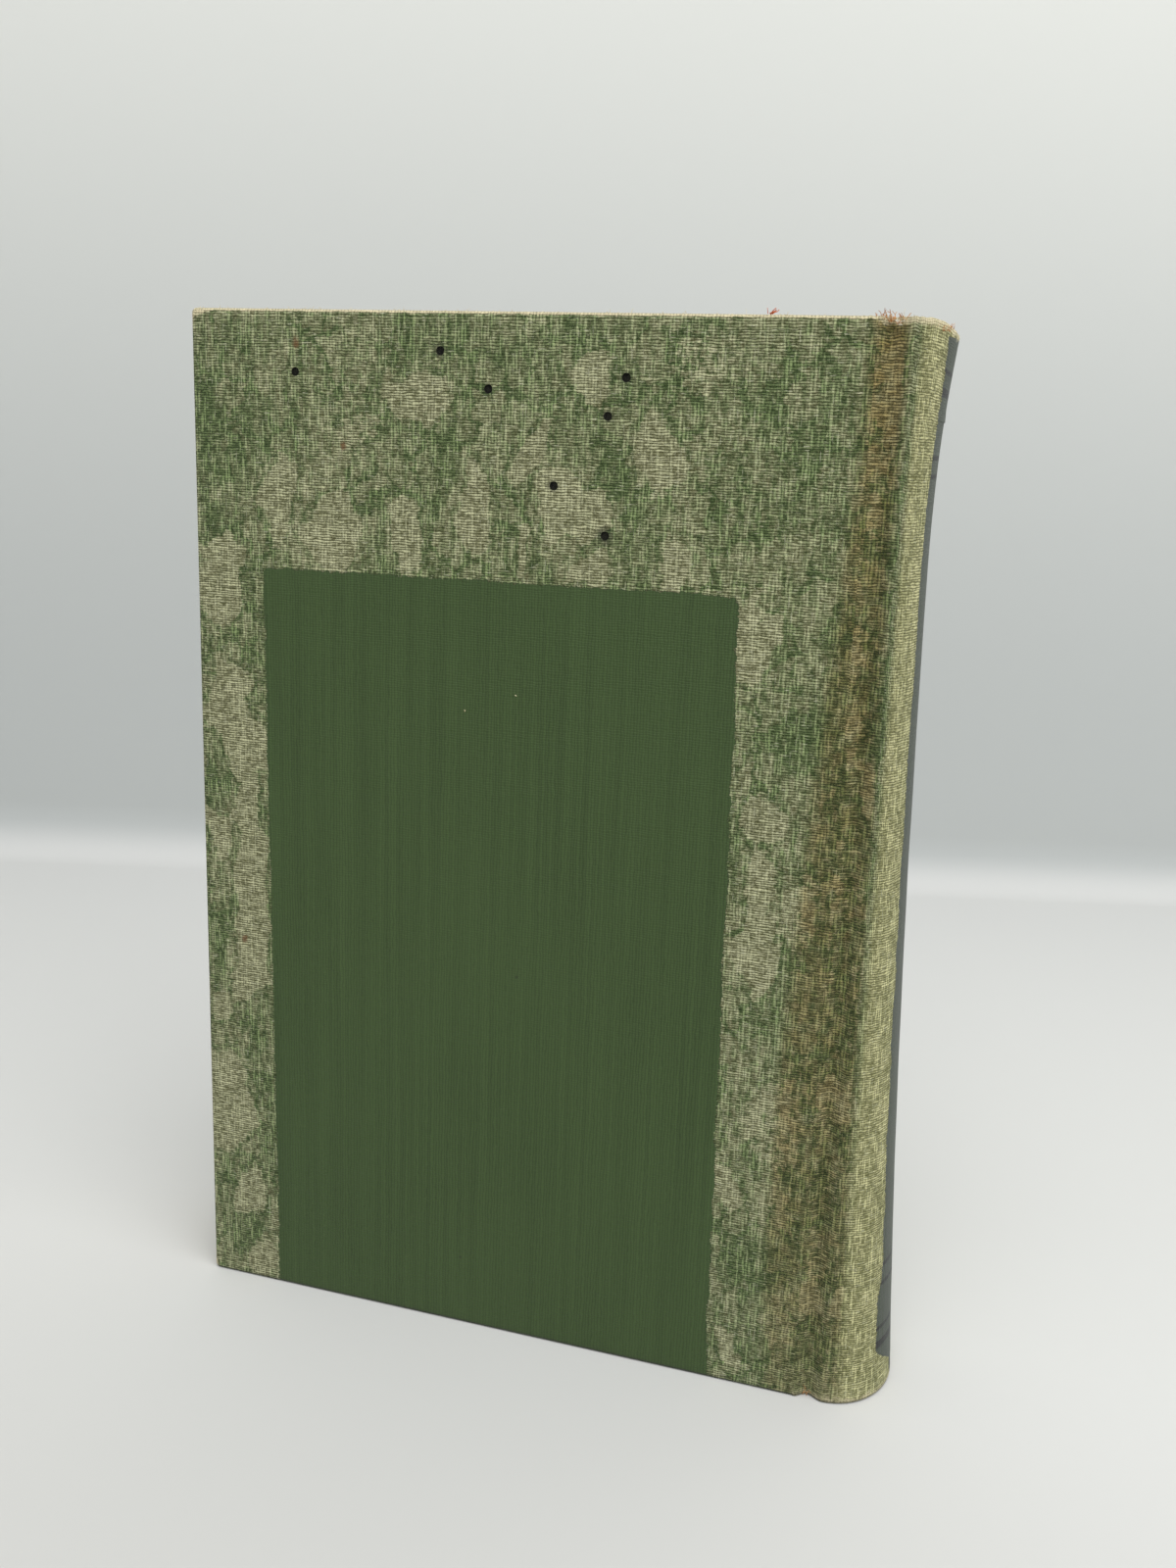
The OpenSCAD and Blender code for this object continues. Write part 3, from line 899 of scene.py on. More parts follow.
@dataclass(frozen=True)
class PageEdgeFinish:
    """Cut edges of the leaves: fine lines that follow them, browned and dusty."""

    light: tuple[int, int, int] = (219, 203, 165)
    dark: tuple[int, int, int] = (164, 140, 98)
    dust: tuple[int, int, int] = (128, 112, 82)
    leaves: float = 190.0

    def build(self) -> bpy.types.Material:
        """Makes the material from the Leaf attribute, which counts across the leaves."""
        material, g, shader = new_material("Page edges")
        place = g.millimetres()
        leaf = g.times(g.attribute("Leaf"), self.leaves)
        sway = g.times(g.stretched(place, (30.0, 30.0, 30.0), 2), 5.0)
        along = g.vector("MULTIPLY", place, (0.02, 0.0, 0.02))
        line = g.vector("ADD", along, g.join(0.0, g.math("ADD", leaf, sway), 0.0))
        fine = g.noise(line, 0.8, 3, 0.7)
        broad = g.noise(g.vector("MULTIPLY", line, (1.0, 0.12, 1.0)), 1.0, 3, 0.6)
        grime = g.noise(place, 0.06, 4, 0.6)
        base = g.mix(g.step(fine, 0.36, 0.64), tint(*self.dark), tint(*self.light))
        base = g.mix(g.step(broad, 0.35, 0.7, 0.0, 0.5), base, tint(*self.dark))
        base = g.mix(g.step(grime, 0.45, 0.8, 0.0, 0.45), base, tint(*self.dust))
        g.feed(shader, "Base Color", base)
        g.feed(shader, "Normal", g.bump(g.math("ADD", fine, broad), 0.8, 0.12))
        shader.inputs["Roughness"].default_value = 0.82
        shader.inputs["Specular IOR Level"].default_value = 0.3
        return material


@dataclass(frozen=True)
class GauzeFinish:
    """Starched mull, an open weave stiff with glue."""

    thread: tuple[int, int, int] = (214, 202, 166)
    gap: tuple[int, int, int] = (124, 104, 66)

    def build(self, effects: Effects) -> bpy.types.Material:
        """Makes the material from the shared weave group."""
        material, g, shader = new_material("Mull gauze")
        parts = g.split(g.millimetres())
        across = g.math("ADD", parts.outputs[0], parts.outputs[1])
        flat = g.join(across, parts.outputs[2])
        weave = g.group(effects.weave, Map=flat, Warp_pitch=0.9, Weft_pitch=0.9, Waver=0.6)
        base = g.mix(g.step(weave.outputs["Height"], 0.3, 0.7), tint(*self.gap), tint(*self.thread))
        g.feed(shader, "Base Color", base)
        g.feed(shader, "Normal", g.bump(weave.outputs["Height"], 0.7, 0.2))
        shader.inputs["Roughness"].default_value = 0.8
        return material


@dataclass(frozen=True)
class PlainFinish:
    """Thread, fluff or the painted shade inside a pit: one kind of fibre, or the shade, with some change of
    tone.
    """

    name: str
    light: tuple[int, int, int]
    dark: tuple[int, int, int]
    scale: float = 0.8
    roughness: float = 0.9

    def build(self) -> bpy.types.Material:
        """Makes the material."""
        material, g, shader = new_material(self.name)
        change = g.noise(g.millimetres(), self.scale, 3, 0.6)
        g.feed(shader, "Base Color", g.mix(g.step(change, 0.35, 0.65), tint(*self.dark), tint(*self.light)))
        g.feed(shader, "Normal", g.bump(change, 0.3, 0.05))
        shader.inputs["Roughness"].default_value = self.roughness
        shader.inputs["Specular IOR Level"].default_value = 0.25
        return material


# Wear of the cloth


@dataclass(frozen=True)
class Patch:
    """A worn or a kept place on a cover, by its middle and half sizes in millimetres."""

    x: float
    z: float
    width: float
    height: float
    change: float = 0.4


@dataclass
class WearPlan:
    """How worn the cloth of one side is at each place."""

    patches: list[Patch] = field(default_factory=list)
    base: float = 0.42
    seed: float = 3.0
    panel: tuple[tuple[float, float], ...] = ()

    def wear(self, x: np.ndarray, z: np.ndarray) -> np.ndarray:
        """Wear at places of the outside, about 0 for whole cloth and 1 for bare threads."""

        def waves(size: float, shift: float) -> np.ndarray:
            """Soft noise at every place."""
            return np.array([drift(a, b, size, self.seed + shift) for a, b in zip(x, z)])

        bent_x = x + 3.4 * waves(8.0, 0) + 1.5 * waves(3.0, 5)
        bent_z = z + 4.4 * waves(8.0, 9) + 1.8 * waves(3.0, 14)
        level = self.base + 0.1 * waves(24.0, 21)
        gain, loss = np.zeros(len(x)), np.zeros(len(x))
        for patch in self.patches:
            away = np.hypot((bent_x - patch.x) / patch.width, (bent_z - patch.z) / patch.height)
            share = smooth(1.5, 0.6, away) * patch.change
            gain, loss = np.maximum(gain, share), np.minimum(loss, share)
        return level + gain + loss

    def intact(self, x: float, z: float) -> float:
        """How far inside the kept panel a place lies, in millimetres."""
        if not self.panel:
            return -20.0
        wave = 0.55 * drift(x, z, 9.0, self.seed + 30) + 0.35 * drift(x, z, 3.0, self.seed + 33)
        inside = 1e9
        for (ax, az), (bx, bz) in zip(self.panel, self.panel[1:] + self.panel[:1]):
            length = math.hypot(bx - ax, bz - az)
            inside = min(inside, ((bx - ax) * (z - az) - (bz - az) * (x - ax)) / length)
        right = float(smooth(-30.0, -17.0, x))
        return inside + wave * (0.35 + 0.9 * right)


def joint_stain(x: np.ndarray, z: np.ndarray) -> np.ndarray:
    """How brown the joint is at places of the cloth, by the distance from the board's edge and the tail."""
    left = np.interp(z, [0, 25, 60, 120, 165, 190], [-7.0, -8.5, -8.5, -6.0, -3.2, -2.6])
    right = np.interp(z, [0, 40, 110, 150, 190], [9.0, 8.0, 6.5, 5.4, 5.4])
    across = smooth(0.0, 2.4, x - left) * smooth(0.0, 2.4, right - x)
    return across * np.interp(z, [0, 12, 30, 60, 120, 165, 190], [0.4, 0.6, 0.7, 0.75, 0.8, 0.85, 1.0])


def back_wear() -> WearPlan:
    """The back cover: bare patches listed one by one, and the panel that something lay over for years."""
    worn = (
        (-46.5, 180, 4, 4), (-34, 168, 5, 6), (-56, 167, 4, 5), (-66.5, 157, 3, 8),
        (-49, 157.6, 6, 4.5, 0.6), (-46, 147.6, 6, 3), (-79, 152, 3.5, 7, 0.5), (-93, 153, 5, 6, 0.5),
        (-104, 158, 4, 8), (-78, 176, 8, 4, 0.35), (-58, 151, 1.4, 5), (-31.5, 148, 3, 6),
        (-16.5, 138, 4, 6), (-13.4, 109.5, 4, 5), (-13, 89, 3, 15, 0.5), (-6, 93, 4, 8, 0.3),
        (-8, 53, 6, 9, 0.3), (-15, 39, 3, 4), (-13, 7, 3, 5), (-116, 141, 4, 8, 0.5), (-115, 121, 3.5, 9),
        (-112, 112, 4, 6, 0.5), (-118, 96, 3, 5), (-111, 101, 3, 6), (-111, 82, 3.5, 13, 0.5),
        (-111.5, 66, 4, 5), (-117, 59.5, 3, 4), (-116.5, 38, 5, 11, 0.5), (-113, 19.5, 5, 6, 0.4),
        (-110, 4.5, 3, 4), (-88, 170, 8, 3, 0.25), (-30, 182, 9, 4, 0.25), (-14, 168, 22, 17, 0.16),
        (-92, 178, 24, 9, 0.1), (-8, 60, 8, 60, 0.08),
    )
    kept = (
        (-119, 165, 2.5, 18, -0.25), (-98, 170, 2, 6, -0.15), (-72, 165, 2.5, 7, -0.2),
        (-84, 147, 3, 4, -0.25), (-54, 148, 2.5, 3, -0.3), (-12, 150, 4, 8, -0.12),
        (-62, 183, 6, 2, -0.15), (-9, 72, 4, 6, -0.2), (-10, 24, 4, 6, -0.28), (-118, 74, 2, 6, -0.25),
        (-112, 50, 3, 3, -0.25), (-117, 26, 3, 2, -0.2), (-7, 122, 4, 5, -0.15), (-110, 184, 7, 3, -0.15),
        (-24, 160, 3, 6, -0.15), (-40, 161, 2, 5, -0.15),
    )
    panel = ((-107.3, 145.1), (-105.9, -6.0), (-16.8, -6.0), (-19.6, 145.7))
    patches = [Patch(*row) for row in worn + kept]
    return WearPlan(patches=patches, base=0.47, seed=3.0, panel=panel)


def front_wear() -> WearPlan:
    """The front cover, which the photograph doesn't show: mottled in the same way, with no kept panel."""
    pick = random.Random(11)
    patches = []
    for count, width, height, change, sign in (
        (46, (2.5, 7), (3, 11), (0.25, 0.5), 1),
        (38, (3, 8), (4, 12), (0.15, 0.3), -1),
    ):
        for _ in range(count):
            x, z = pick.uniform(-119, -3), pick.uniform(4, 186)
            half_sizes = pick.uniform(*width), pick.uniform(*height)
            patches.append(Patch(x, z, *half_sizes, sign * pick.uniform(*change)))
    return WearPlan(patches=patches, base=0.5, seed=47.0)


# The cloth over a board


@dataclass
class CoverCloth:
    """Cloth glued over one board: its outside, its three edges and its turned-in margin."""

    side: Side
    plan: WearPlan
    edge_r: float = 0.7
    cell: float = 1.5
    lap: float = 0.6
    thickness: float = 0.3
    hole_r: float = 0.75
    hole_d: float = 0.34
    holes: tuple[tuple[float, float], ...] = ()

    def build(self, cloth: bpy.types.Material, pit: bpy.types.Material) -> bpy.types.Object:
        """Makes the piece.

        Args:
            cloth: Material of the cloth.
            pit: Material of the beetle holes, a dark colour painted for the shade down each hole.

        Returns:
            The finished piece, which rides on its cover.
        """
        low, high = SIZES.place([
            [-SIZES.board_w + self.edge_r, 0, self.edge_r], [-self.lap, 0, SIZES.board_h - self.edge_r]
        ])
        columns = round((SIZES.board_w - self.edge_r - self.lap) / self.cell)
        rows = round((SIZES.board_h - 2 * self.edge_r) / self.cell)
        obj = add_grid(f"{self.side.value}_cover_cloth", columns, rows, Vector(low), Vector(high))
        obj.data.materials.append(cloth)
        obj.data.materials.append(pit)
        self._round_corners(obj)
        self._sink_holes(obj)
        self._turn_in(obj)
        thicken(obj, self.thickness)
        self._dress(obj)
        if self.side is Side.FRONT:
            turn_over(obj)
        smooth_shade(obj, 50)
        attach(obj, self.side.body)
        return finish_piece(obj, "book_cloth", cloth, f"{self.side.value}_cloth")

    def _round_corners(self, obj: bpy.types.Object) -> None:
        """Rounds the two corners at the fore-edge."""
        left = SIZES.edge_x - SIZES.board_w + self.edge_r
        ends = (self.edge_r, SIZES.board_h - self.edge_r)
        with editing(obj):
            choose(obj, "verts", lambda v: any(
                math.hypot(v.co.x / MM - left, v.co.z / MM - z) < 0.01 for z in ends
            ))
            bpy.ops.mesh.bevel(offset=(SIZES.corner_r - self.edge_r) * MM, segments=4, affect="VERTICES")

    def _sink_holes(self, obj: bpy.types.Object) -> None:
        """Bores the beetle holes into the outside."""
        for x, z in self.holes:
            centre = Vector(SIZES.place([[x, 0, z]])[0])
            with editing(obj):
                mesh = bmesh.from_edit_mesh(obj.data)
                nearest = min(mesh.verts, key=lambda v: (v.co - centre).length)
                shift, place = centre - nearest.co, nearest.co.copy()
                choose(obj, "verts", lambda v: (v.co - place).length < 1e-7)
                bpy.ops.mesh.select_more()
                bpy.ops.transform.translate(value=shift)
                bpy.ops.mesh.select_mode(type="FACE")
                bpy.ops.mesh.inset(thickness=(self.cell - self.hole_r) * MM)
                bpy.ops.mesh.subdivide(number_cuts=1)
                self._round_off(obj, centre)
                bpy.ops.mesh.extrude_region_move(TRANSFORM_OT_translate={"value": (0, self.hole_d * MM, 0)})
                bpy.ops.transform.resize(value=(0.88, 1, 0.88), center_override=centre)
                mesh = bmesh.from_edit_mesh(obj.data)
                # Painted shade: the floor and walls of each shallow hole take the dark pit material, standing
                # in for the shade of a deep hole.
                for face in mesh.faces:
                    inside = face.calc_center_median() - centre
                    if inside.length < self.hole_r * MM * 1.2 and inside.y > 0.05 * MM:
                        face.material_index = 1
                bmesh.update_edit_mesh(obj.data)

    def _round_off(self, obj: bpy.types.Object, centre: Vector) -> None:
        """Draws the selected square of small faces into a disc of the hole's size."""
        mesh = bmesh.from_edit_mesh(obj.data)
        chosen = [v for v in mesh.verts if v.select]
        half = max(max(abs(v.co.x - centre.x), abs(v.co.z - centre.z)) for v in chosen)
        for v in chosen:
            u, w = v.co.x - centre.x, v.co.z - centre.z
            ring = max(abs(u), abs(w)) / half
            length = math.hypot(u, w) or 1.0
            v.co.x = centre.x + u / length * ring * self.hole_r * MM
            v.co.z = centre.z + w / length * ring * self.hole_r * MM
        bmesh.update_edit_mesh(obj.data)

    def _turn_in(self, obj: bpy.types.Object) -> None:
        """Takes the cloth round the edges and in over the inside of the board."""
        r, top = self.edge_r, SIZES.turn_in_top
        rim = [(r * math.sin(a), r * (1 - math.cos(a))) for a in (math.pi / 6, math.pi / 3, math.pi / 2)]
        rim += [(r, top / 2)]
        turns = (0.0, math.pi / 6, math.pi / 3, math.pi / 2)
        rim += [(r * math.cos(a), top - r + r * math.sin(a)) for a in turns]
        end = r - SIZES.turn_in_w
        rim += [(r - SIZES.turn_in_w / 2, top), (end, top), (end - 0.1, top - 0.3)]
        spine_edge = SIZES.edge_x - self.lap
        with editing(obj, "EDGE"):
            choose(obj, "edges", lambda e: e.is_boundary and middle(e).x / MM < spine_edge - 0.01)
            wide, tall, offset, depth = SIZES.board_w - r, SIZES.board_h / 2 - r, 0.0, 0.0
            pivot = (SIZES.edge_x * MM, 0, SIZES.board_h / 2 * MM)
            for new_offset, new_depth in rim:
                deeper = (0, (new_depth - depth) * MM, 0)
                bpy.ops.mesh.extrude_edges_move(TRANSFORM_OT_translate={"value": deeper})
                grow = ((wide + new_offset) / (wide + offset), 1, (tall + new_offset) / (tall + offset))
                bpy.ops.transform.resize(value=grow, center_override=pivot)
                offset, depth = new_offset, new_depth
        points = SIZES.local(points_of(obj))
        edge = points[:, 0] > -self.lap - 0.3
        points[edge, 0] = -self.lap
        set_points(obj, SIZES.place(points))

    def _region(self, centre: np.ndarray) -> Region:
        """The part of the cover that a face lies on, by its middle in local millimetres."""
        x, y, z = centre
        if y < self.edge_r * 0.3 + 0.02:
            return Region.OUTSIDE
        gaps = {Region.FORE_EDGE: x + SIZES.board_w, Region.HEAD: SIZES.board_h - z, Region.TAIL: z}
        return min(gaps, key=gaps.get)

    def _unfold(self, region: Region, point: np.ndarray) -> tuple[float, float]:
        """Where a point of the cloth lies when the cloth is laid flat."""
        x, y, z = point
        inside = y > SIZES.turn_in_top - 0.4
        if region is Region.FORE_EDGE:
            return (-2 * SIZES.board_w - SIZES.turn_in_top - x if inside else x - y), z
        if region is Region.HEAD:
            return x, (2 * SIZES.board_h + SIZES.turn_in_top - z if inside else z + y)
        if region is Region.TAIL:
            return x, (-SIZES.turn_in_top - z if inside else z - y)
        return x, z

    def _dress(self, obj: bpy.types.Object) -> None:
        """Writes the map and the masks of the cloth."""
        points = SIZES.local(points_of(obj))
        regions = [self._region(points[list(face.vertices)].mean(0)) for face in obj.data.polygons]
        write_map(obj, CLOTH_MAP, lambda face, vertex: self._unfold(regions[face], points[vertex]))
        x, y, z = points.T
        from_fore_edge, from_head = x + SIZES.board_w, SIZES.board_h - z
        inside = y > SIZES.turn_in_top - 0.5
        wear = self.plan.wear(x, z)
        intact = np.array([self.plan.intact(a, b) for a, b in zip(x, z)])
        edge = np.minimum(np.minimum(from_fore_edge, z), from_head)
        rub = 0.75 * smooth(0.9, 0.0, edge) * smooth(0.0, 0.8, y) * (y < SIZES.turn_in_top)
        corner = np.hypot(from_fore_edge, np.minimum(z, from_head))
        rub += 0.12 * smooth(3.0, 0.0, from_head) + 0.55 * smooth(4.5, 0.8, corner)
        rub += 0.62 * smooth(1.1, 0.3, from_head) + 0.35 * smooth(0.8, 0.2, from_fore_edge)
        wear += 0.25 * smooth(1.2, 0.2, edge)
        intact = np.where(y > 0.5, np.where(inside, 9.0, -3.0), intact)
        stain = joint_stain(x, z)
        write_values(obj, Mask.WEAR.value, wear)
        write_values(obj, Mask.INTACT.value, intact)
        write_values(obj, Mask.STAIN.value, np.where(inside, 0, stain))
        write_values(obj, Mask.RUB.value, np.where(inside, 0, rub))
        write_values(obj, Mask.SPINE.value, np.zeros(len(points)))


# The cloth over a joint and half of the spine


@dataclass
class SpineCloth:
    """Half of the cloth between the boards, from one board's edge to the middle of the spine."""

    side: Side
    plan: WearPlan
    lap: float = 0.6
    joint_steps: int = 16
    round_steps: int = 38
    rows: int = 152
    fold_steps: int = 6
    turn_steps: int = 3
    thickness: float = 0.3
    spine_length: float = 16.5
    fold_length: float = 2.2
    turned_length: float = 14.0

    def build(self, cloth: bpy.types.Material, paper: bpy.types.Material) -> bpy.types.Object:
        """Makes the piece, which runs from its cover's edge over the joint to the middle of the spine.

        Args:
            cloth: Material of the cloth.
            paper: Material of the endpaper that is pasted inside the joint.

        Returns:
            The finished piece.
        """
        columns = self.joint_steps + self.round_steps
        rim = self.fold_steps + self.turn_steps
        rows = self.rows + 2 * rim
        obj = add_sheet(f"{self.side.value}_spine_cloth", columns, rows)
        cells = np.rint(points_of(obj) / MM).astype(int)
        columns_of, rows_of = cells[:, 0], cells[:, 2] - rim
        places = np.array([self._point(c, r) for c, r in zip(columns_of, rows_of)])
        set_points(obj, SIZES.place(places))
        maps = np.array([self._flat(c, r) for c, r in zip(columns_of, rows_of)])
        write_values(obj, "Across", maps[:, 0])
        write_values(obj, "Up", maps[:, 1])
        write_values(obj, "Angle", [self._angle(c) for c in columns_of])
        obj.data.materials.append(cloth)
        obj.data.materials.append(paper)
        thicken(obj, self.thickness, inner=1)
        self._dress(obj)
        if self.side is Side.FRONT:
            turn_over(obj)
        smooth_shade(obj, 60)
        start, end = SIZES.place(BEND)
        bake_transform(obj)
        return finish_piece(obj, "book_cloth", cloth, "spine_cloth")

    def _angle(self, column: int) -> float:
        """Angle round the spine from its shoulder, in degrees; less than 0 in the joint."""
        return 90.0 * (column - self.joint_steps) / self.round_steps

    def _outer(self, column: int, z: float) -> np.ndarray:
        """Point of the outer line of the case at a column and a height."""
        if column <= self.joint_steps:
            x = -self.lap + (SIZES.joint_w + self.lap) * column / self.joint_steps
            return np.array([x, SIZES.groove_y(x)])
        angle = math.radians(self._angle(column))
        reach = SIZES.spine_reach(z) - SIZES.joint_w
        return np.array([SIZES.joint_w + reach * math.sin(angle), SIZES.mid_y * (1 - math.cos(angle))])

    def _point(self, column: int, row: int) -> np.ndarray:
        """Point of the cloth at a column and a row; the rows past the ends go over the fold and inside."""
        last = self.joint_steps + self.round_steps
        share = min(max(row / self.rows, 0.0), 1.0)
        z = share * SIZES.board_h
        middle_point = self._outer(column, z)
        ahead, behind = self._outer(min(column + 1, last), z), self._outer(max(column - 1, 0), z)
        along = ahead - behind
        if column == last:
            along = np.array([0.0, 1.0])
        inwards = np.array([-along[1], along[0]]) / np.linalg.norm(along)
        strip = float(smooth(0, 12, self._angle(column)))
        ply = SIZES.cloth_t + SIZES.glue_gap + strip * SIZES.inlay_t / 2
        if 0 <= row <= self.rows:
            depth, rise = 0.0, 0.0
            z = ply + share * (SIZES.board_h - 2 * ply)
        else:
            past = -row if row < 0 else row - self.rows
            turn = min(past / self.fold_steps, 1.0) * math.pi
            depth, rise = ply * (1 - math.cos(turn)), ply * math.sin(turn)
            slide = max(past - self.fold_steps, 0) / self.turn_steps * (SIZES.turn_in_w - ply)
            z = ply - rise + slide if row < 0 else SIZES.board_h - ply + rise - slide
        fray = 0.16 * drift(column * 0.9, 10.0, 3.0, 8.0)
        lost = SIZES.head_wear * math.sin(math.pi * middle_point[1] / SIZES.book_t) ** 2 + fray
        z -= lost * float(smooth(SIZES.board_h - 22, SIZES.board_h - 0.5, z))
        swell = 0.0
        if 4 < z < SIZES.board_h - 4 and column > self.joint_steps + 2:
            swell = 0.07 * drift(column * 0.45, z, 13.0, 4.0)
        place = middle_point + (depth - swell) * inwards
        return np.array([place[0], place[1], z])

    def _flat(self, column: int, row: int) -> tuple[float, float]:
        """Where a point lies on the flat cloth, in millimetres from the board's edge and the tail."""
        if column <= self.joint_steps:
            across = -self.lap + (SIZES.joint_w + self.lap) * column / self.joint_steps
        else:
            across = SIZES.joint_w + self.spine_length * (column - self.joint_steps) / self.round_steps
        if 0 <= row <= self.rows:
            return across, SIZES.board_h * row / self.rows
        past = -row if row < 0 else row - self.rows
        beyond = min(past, self.fold_steps) / self.fold_steps * self.fold_length
        beyond += max(past - self.fold_steps, 0) / self.turn_steps * self.turned_length
        return across, -beyond if row < 0 else SIZES.board_h + beyond

    def _kept_from(self, z: float) -> float:
        """Angle round the spine where the kept dark strip starts at a height."""
        seed = 61.0 if self.side is Side.BACK else 83.0
        ragged = 3.5 * drift(0, z, 11.0, seed) + 2.0 * drift(0, z, 3.5, 66.0)
        eaten = -7.0 * float(smooth(26, 17, z)) + 31.0 * float(smooth(9, 3, z))
        return 62.0 + eaten + ragged - 5.0 * float(smooth(176, 188, z))

    def _dress(self, obj: bpy.types.Object) -> None:
        """Writes the map and the masks of the cloth."""

        def read(name: str) -> np.ndarray:
            """Values of an attribute."""
            values = np.zeros(len(obj.data.vertices), np.float32)
            obj.data.attributes[name].data.foreach_get("value", values)
            return values.astype(float)

        across, up, angle = read("Across"), read("Up"), read("Angle")
        past_fold = self.fold_length + 0.1
        points = SIZES.local(points_of(obj))
        for face in obj.data.polygons:
            x, _, z = points[list(face.vertices)].mean(0)
            turned = abs(up[face.vertices[0]] - SIZES.board_h / 2) > SIZES.board_h / 2 + past_fold
            pasted = x < SIZES.shoulder_x and SIZES.square_w < z < SIZES.board_h - SIZES.square_w
            face.material_index = int(pasted and (turned or face.material_index == 1))
        write_map(obj, CLOTH_MAP, lambda _, vertex: (across[vertex], up[vertex]))
        inside = (up < -past_fold) | (up > SIZES.board_h + past_fold)
        wear = self.plan.base + np.array([
            0.26 * drift(a, u / 2.2, 6.0, 71.0) + 0.16 * drift(a, u / 1.6, 2.6, 75.0)
            for a, u in zip(across, up)
        ])
        wear += 0.24 * smooth(15, 52, angle) + 0.28 * joint_stain(across, up)
        kept = np.array([self._kept_from(u) for u in up])
        reach = np.array([SIZES.spine_reach(height) for height in np.clip(up, 0, SIZES.board_h)])
        radius = (reach - SIZES.joint_w + SIZES.mid_y) / 2
        intact = np.radians(angle - kept) * radius
        head = smooth(2.2, 0.0, SIZES.board_h - up) * (up < SIZES.board_h + past_fold)
        tail = smooth(2.4, 0.4, up) * (up > -past_fold)
        write_values(obj, Mask.WEAR.value, wear)
        write_values(obj, Mask.INTACT.value, np.where(inside, 9.0, np.where(head > 0.75, -3, intact)))
        write_values(obj, Mask.STAIN.value, np.where(inside, 0, joint_stain(across, up)))
        write_values(obj, Mask.RUB.value, np.where(inside, 0, 0.8 * head + 0.7 * tail))
        write_values(obj, Mask.SPINE.value, smooth(4, 22, angle))


# Paper


@dataclass
class PageBlock:
    """The sewn sections: rounded, backed and trimmed, with a slightly uneven cut."""

    per_section: int = 6
    steps: int = 34
    layers: int = 24
    fan_start: float = 0.4
    uneven: float = 0.1

    def build(self, material: bpy.types.Material) -> bpy.types.Object:
        """Makes the piece from a grid of leaves that is drawn down into a block.

        Args:
            material: Material of the page edges.

        Returns:
            The finished piece, which rides on the text block.
        """
        columns = SIZES.section_count * self.per_section
        deselect()
        bpy.ops.mesh.primitive_grid_add(
            x_subdivisions=self.steps, y_subdivisions=columns, size=1, location=(0.5, 0.5, 0)
        )
        obj = bpy.context.object
        obj.name = obj.data.name = "page_block"
        bpy.ops.object.transform_apply(location=True, rotation=True, scale=True)
        with editing(obj, "FACE"):
            bpy.ops.mesh.select_all(action="SELECT")
            for _ in range(self.layers):
                bpy.ops.mesh.extrude_region_move(TRANSFORM_OT_translate={"value": (0, 0, 1 / self.layers)})
            bpy.ops.mesh.select_all(action="SELECT")
            bpy.ops.mesh.normals_make_consistent(inside=False)
        cells = points_of(obj)
        leaf = cells[:, 1] * 2 - 1
        set_points(obj, SIZES.place([self._point(t, s, h) for (t, _, h), s in zip(cells, leaf)]))
        write_values(obj, "Leaf", leaf)
        smooth_shade(obj, 35)
        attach(obj, "book_block")
        return finish_piece(obj, "page_paper", material, "text_block")

    def _point(self, t: float, s: float, h: float) -> np.ndarray:
        """Point of the block.

        Args:
            t: From 0 at the fore-edge to 1 at the folds.
            s: From -1 at the back leaf to 1 at the front leaf.
            h: From 0 at the tail to 1 at the head.

        Returns:
            The point in local millimetres.
        """
        z = SIZES.square_w + h * (SIZES.board_h - 2 * SIZES.square_w)
        half = SIZES.mid_y - SIZES.side_y
        section = (s + 1) / 2 * SIZES.section_count
        v = 2 * (section - math.floor(min(section, SIZES.section_count - 1e-6))) - 1
        dip = -SIZES.fold_d * (1 - math.sqrt(max(0.0, 1 - min(abs(v), 1.0) ** 2)))
        fold_x, fold_y = SIZES.round_point(z, s, dip)
        rise = SIZES.round_at(z)
        radius = (half * half + rise * rise) / (2 * rise)
        hollow = math.sqrt(radius * radius - (s * half) ** 2) - (radius - rise)
        start_x = SIZES.square_w - SIZES.board_w + hollow
        fan = self.fan_start
        bend = 0.72
        if t < bend:
            x = start_x + (fan - start_x) * (t / bend)
            y = SIZES.mid_y + s * half
        else:
            share = (t - bend) / (1 - bend)
            turn = share * math.pi / 2
            x = fan + (fold_x - fan) * math.sin(turn)
            y = SIZES.mid_y + s * half + (fold_y - SIZES.mid_y - s * half) * (1 - math.cos(turn))
        if t == 0:
            broad, fine = drift(section, z / 40, 0.7, 13.0), drift(section * 3, z / 9, 0.7, 17.0)
            x += self.uneven * (broad + 0.5 * fine)
        if h in (0.0, 1.0):
            broad, fine = drift(section, x / 50, 0.7, 23.0 + h), drift(section * 4, x / 20, 0.7, 27.0)
            z += (1 if h else -1) * 0.5 * self.uneven * (broad + 0.4 * fine)
        return np.array([x, y, z])


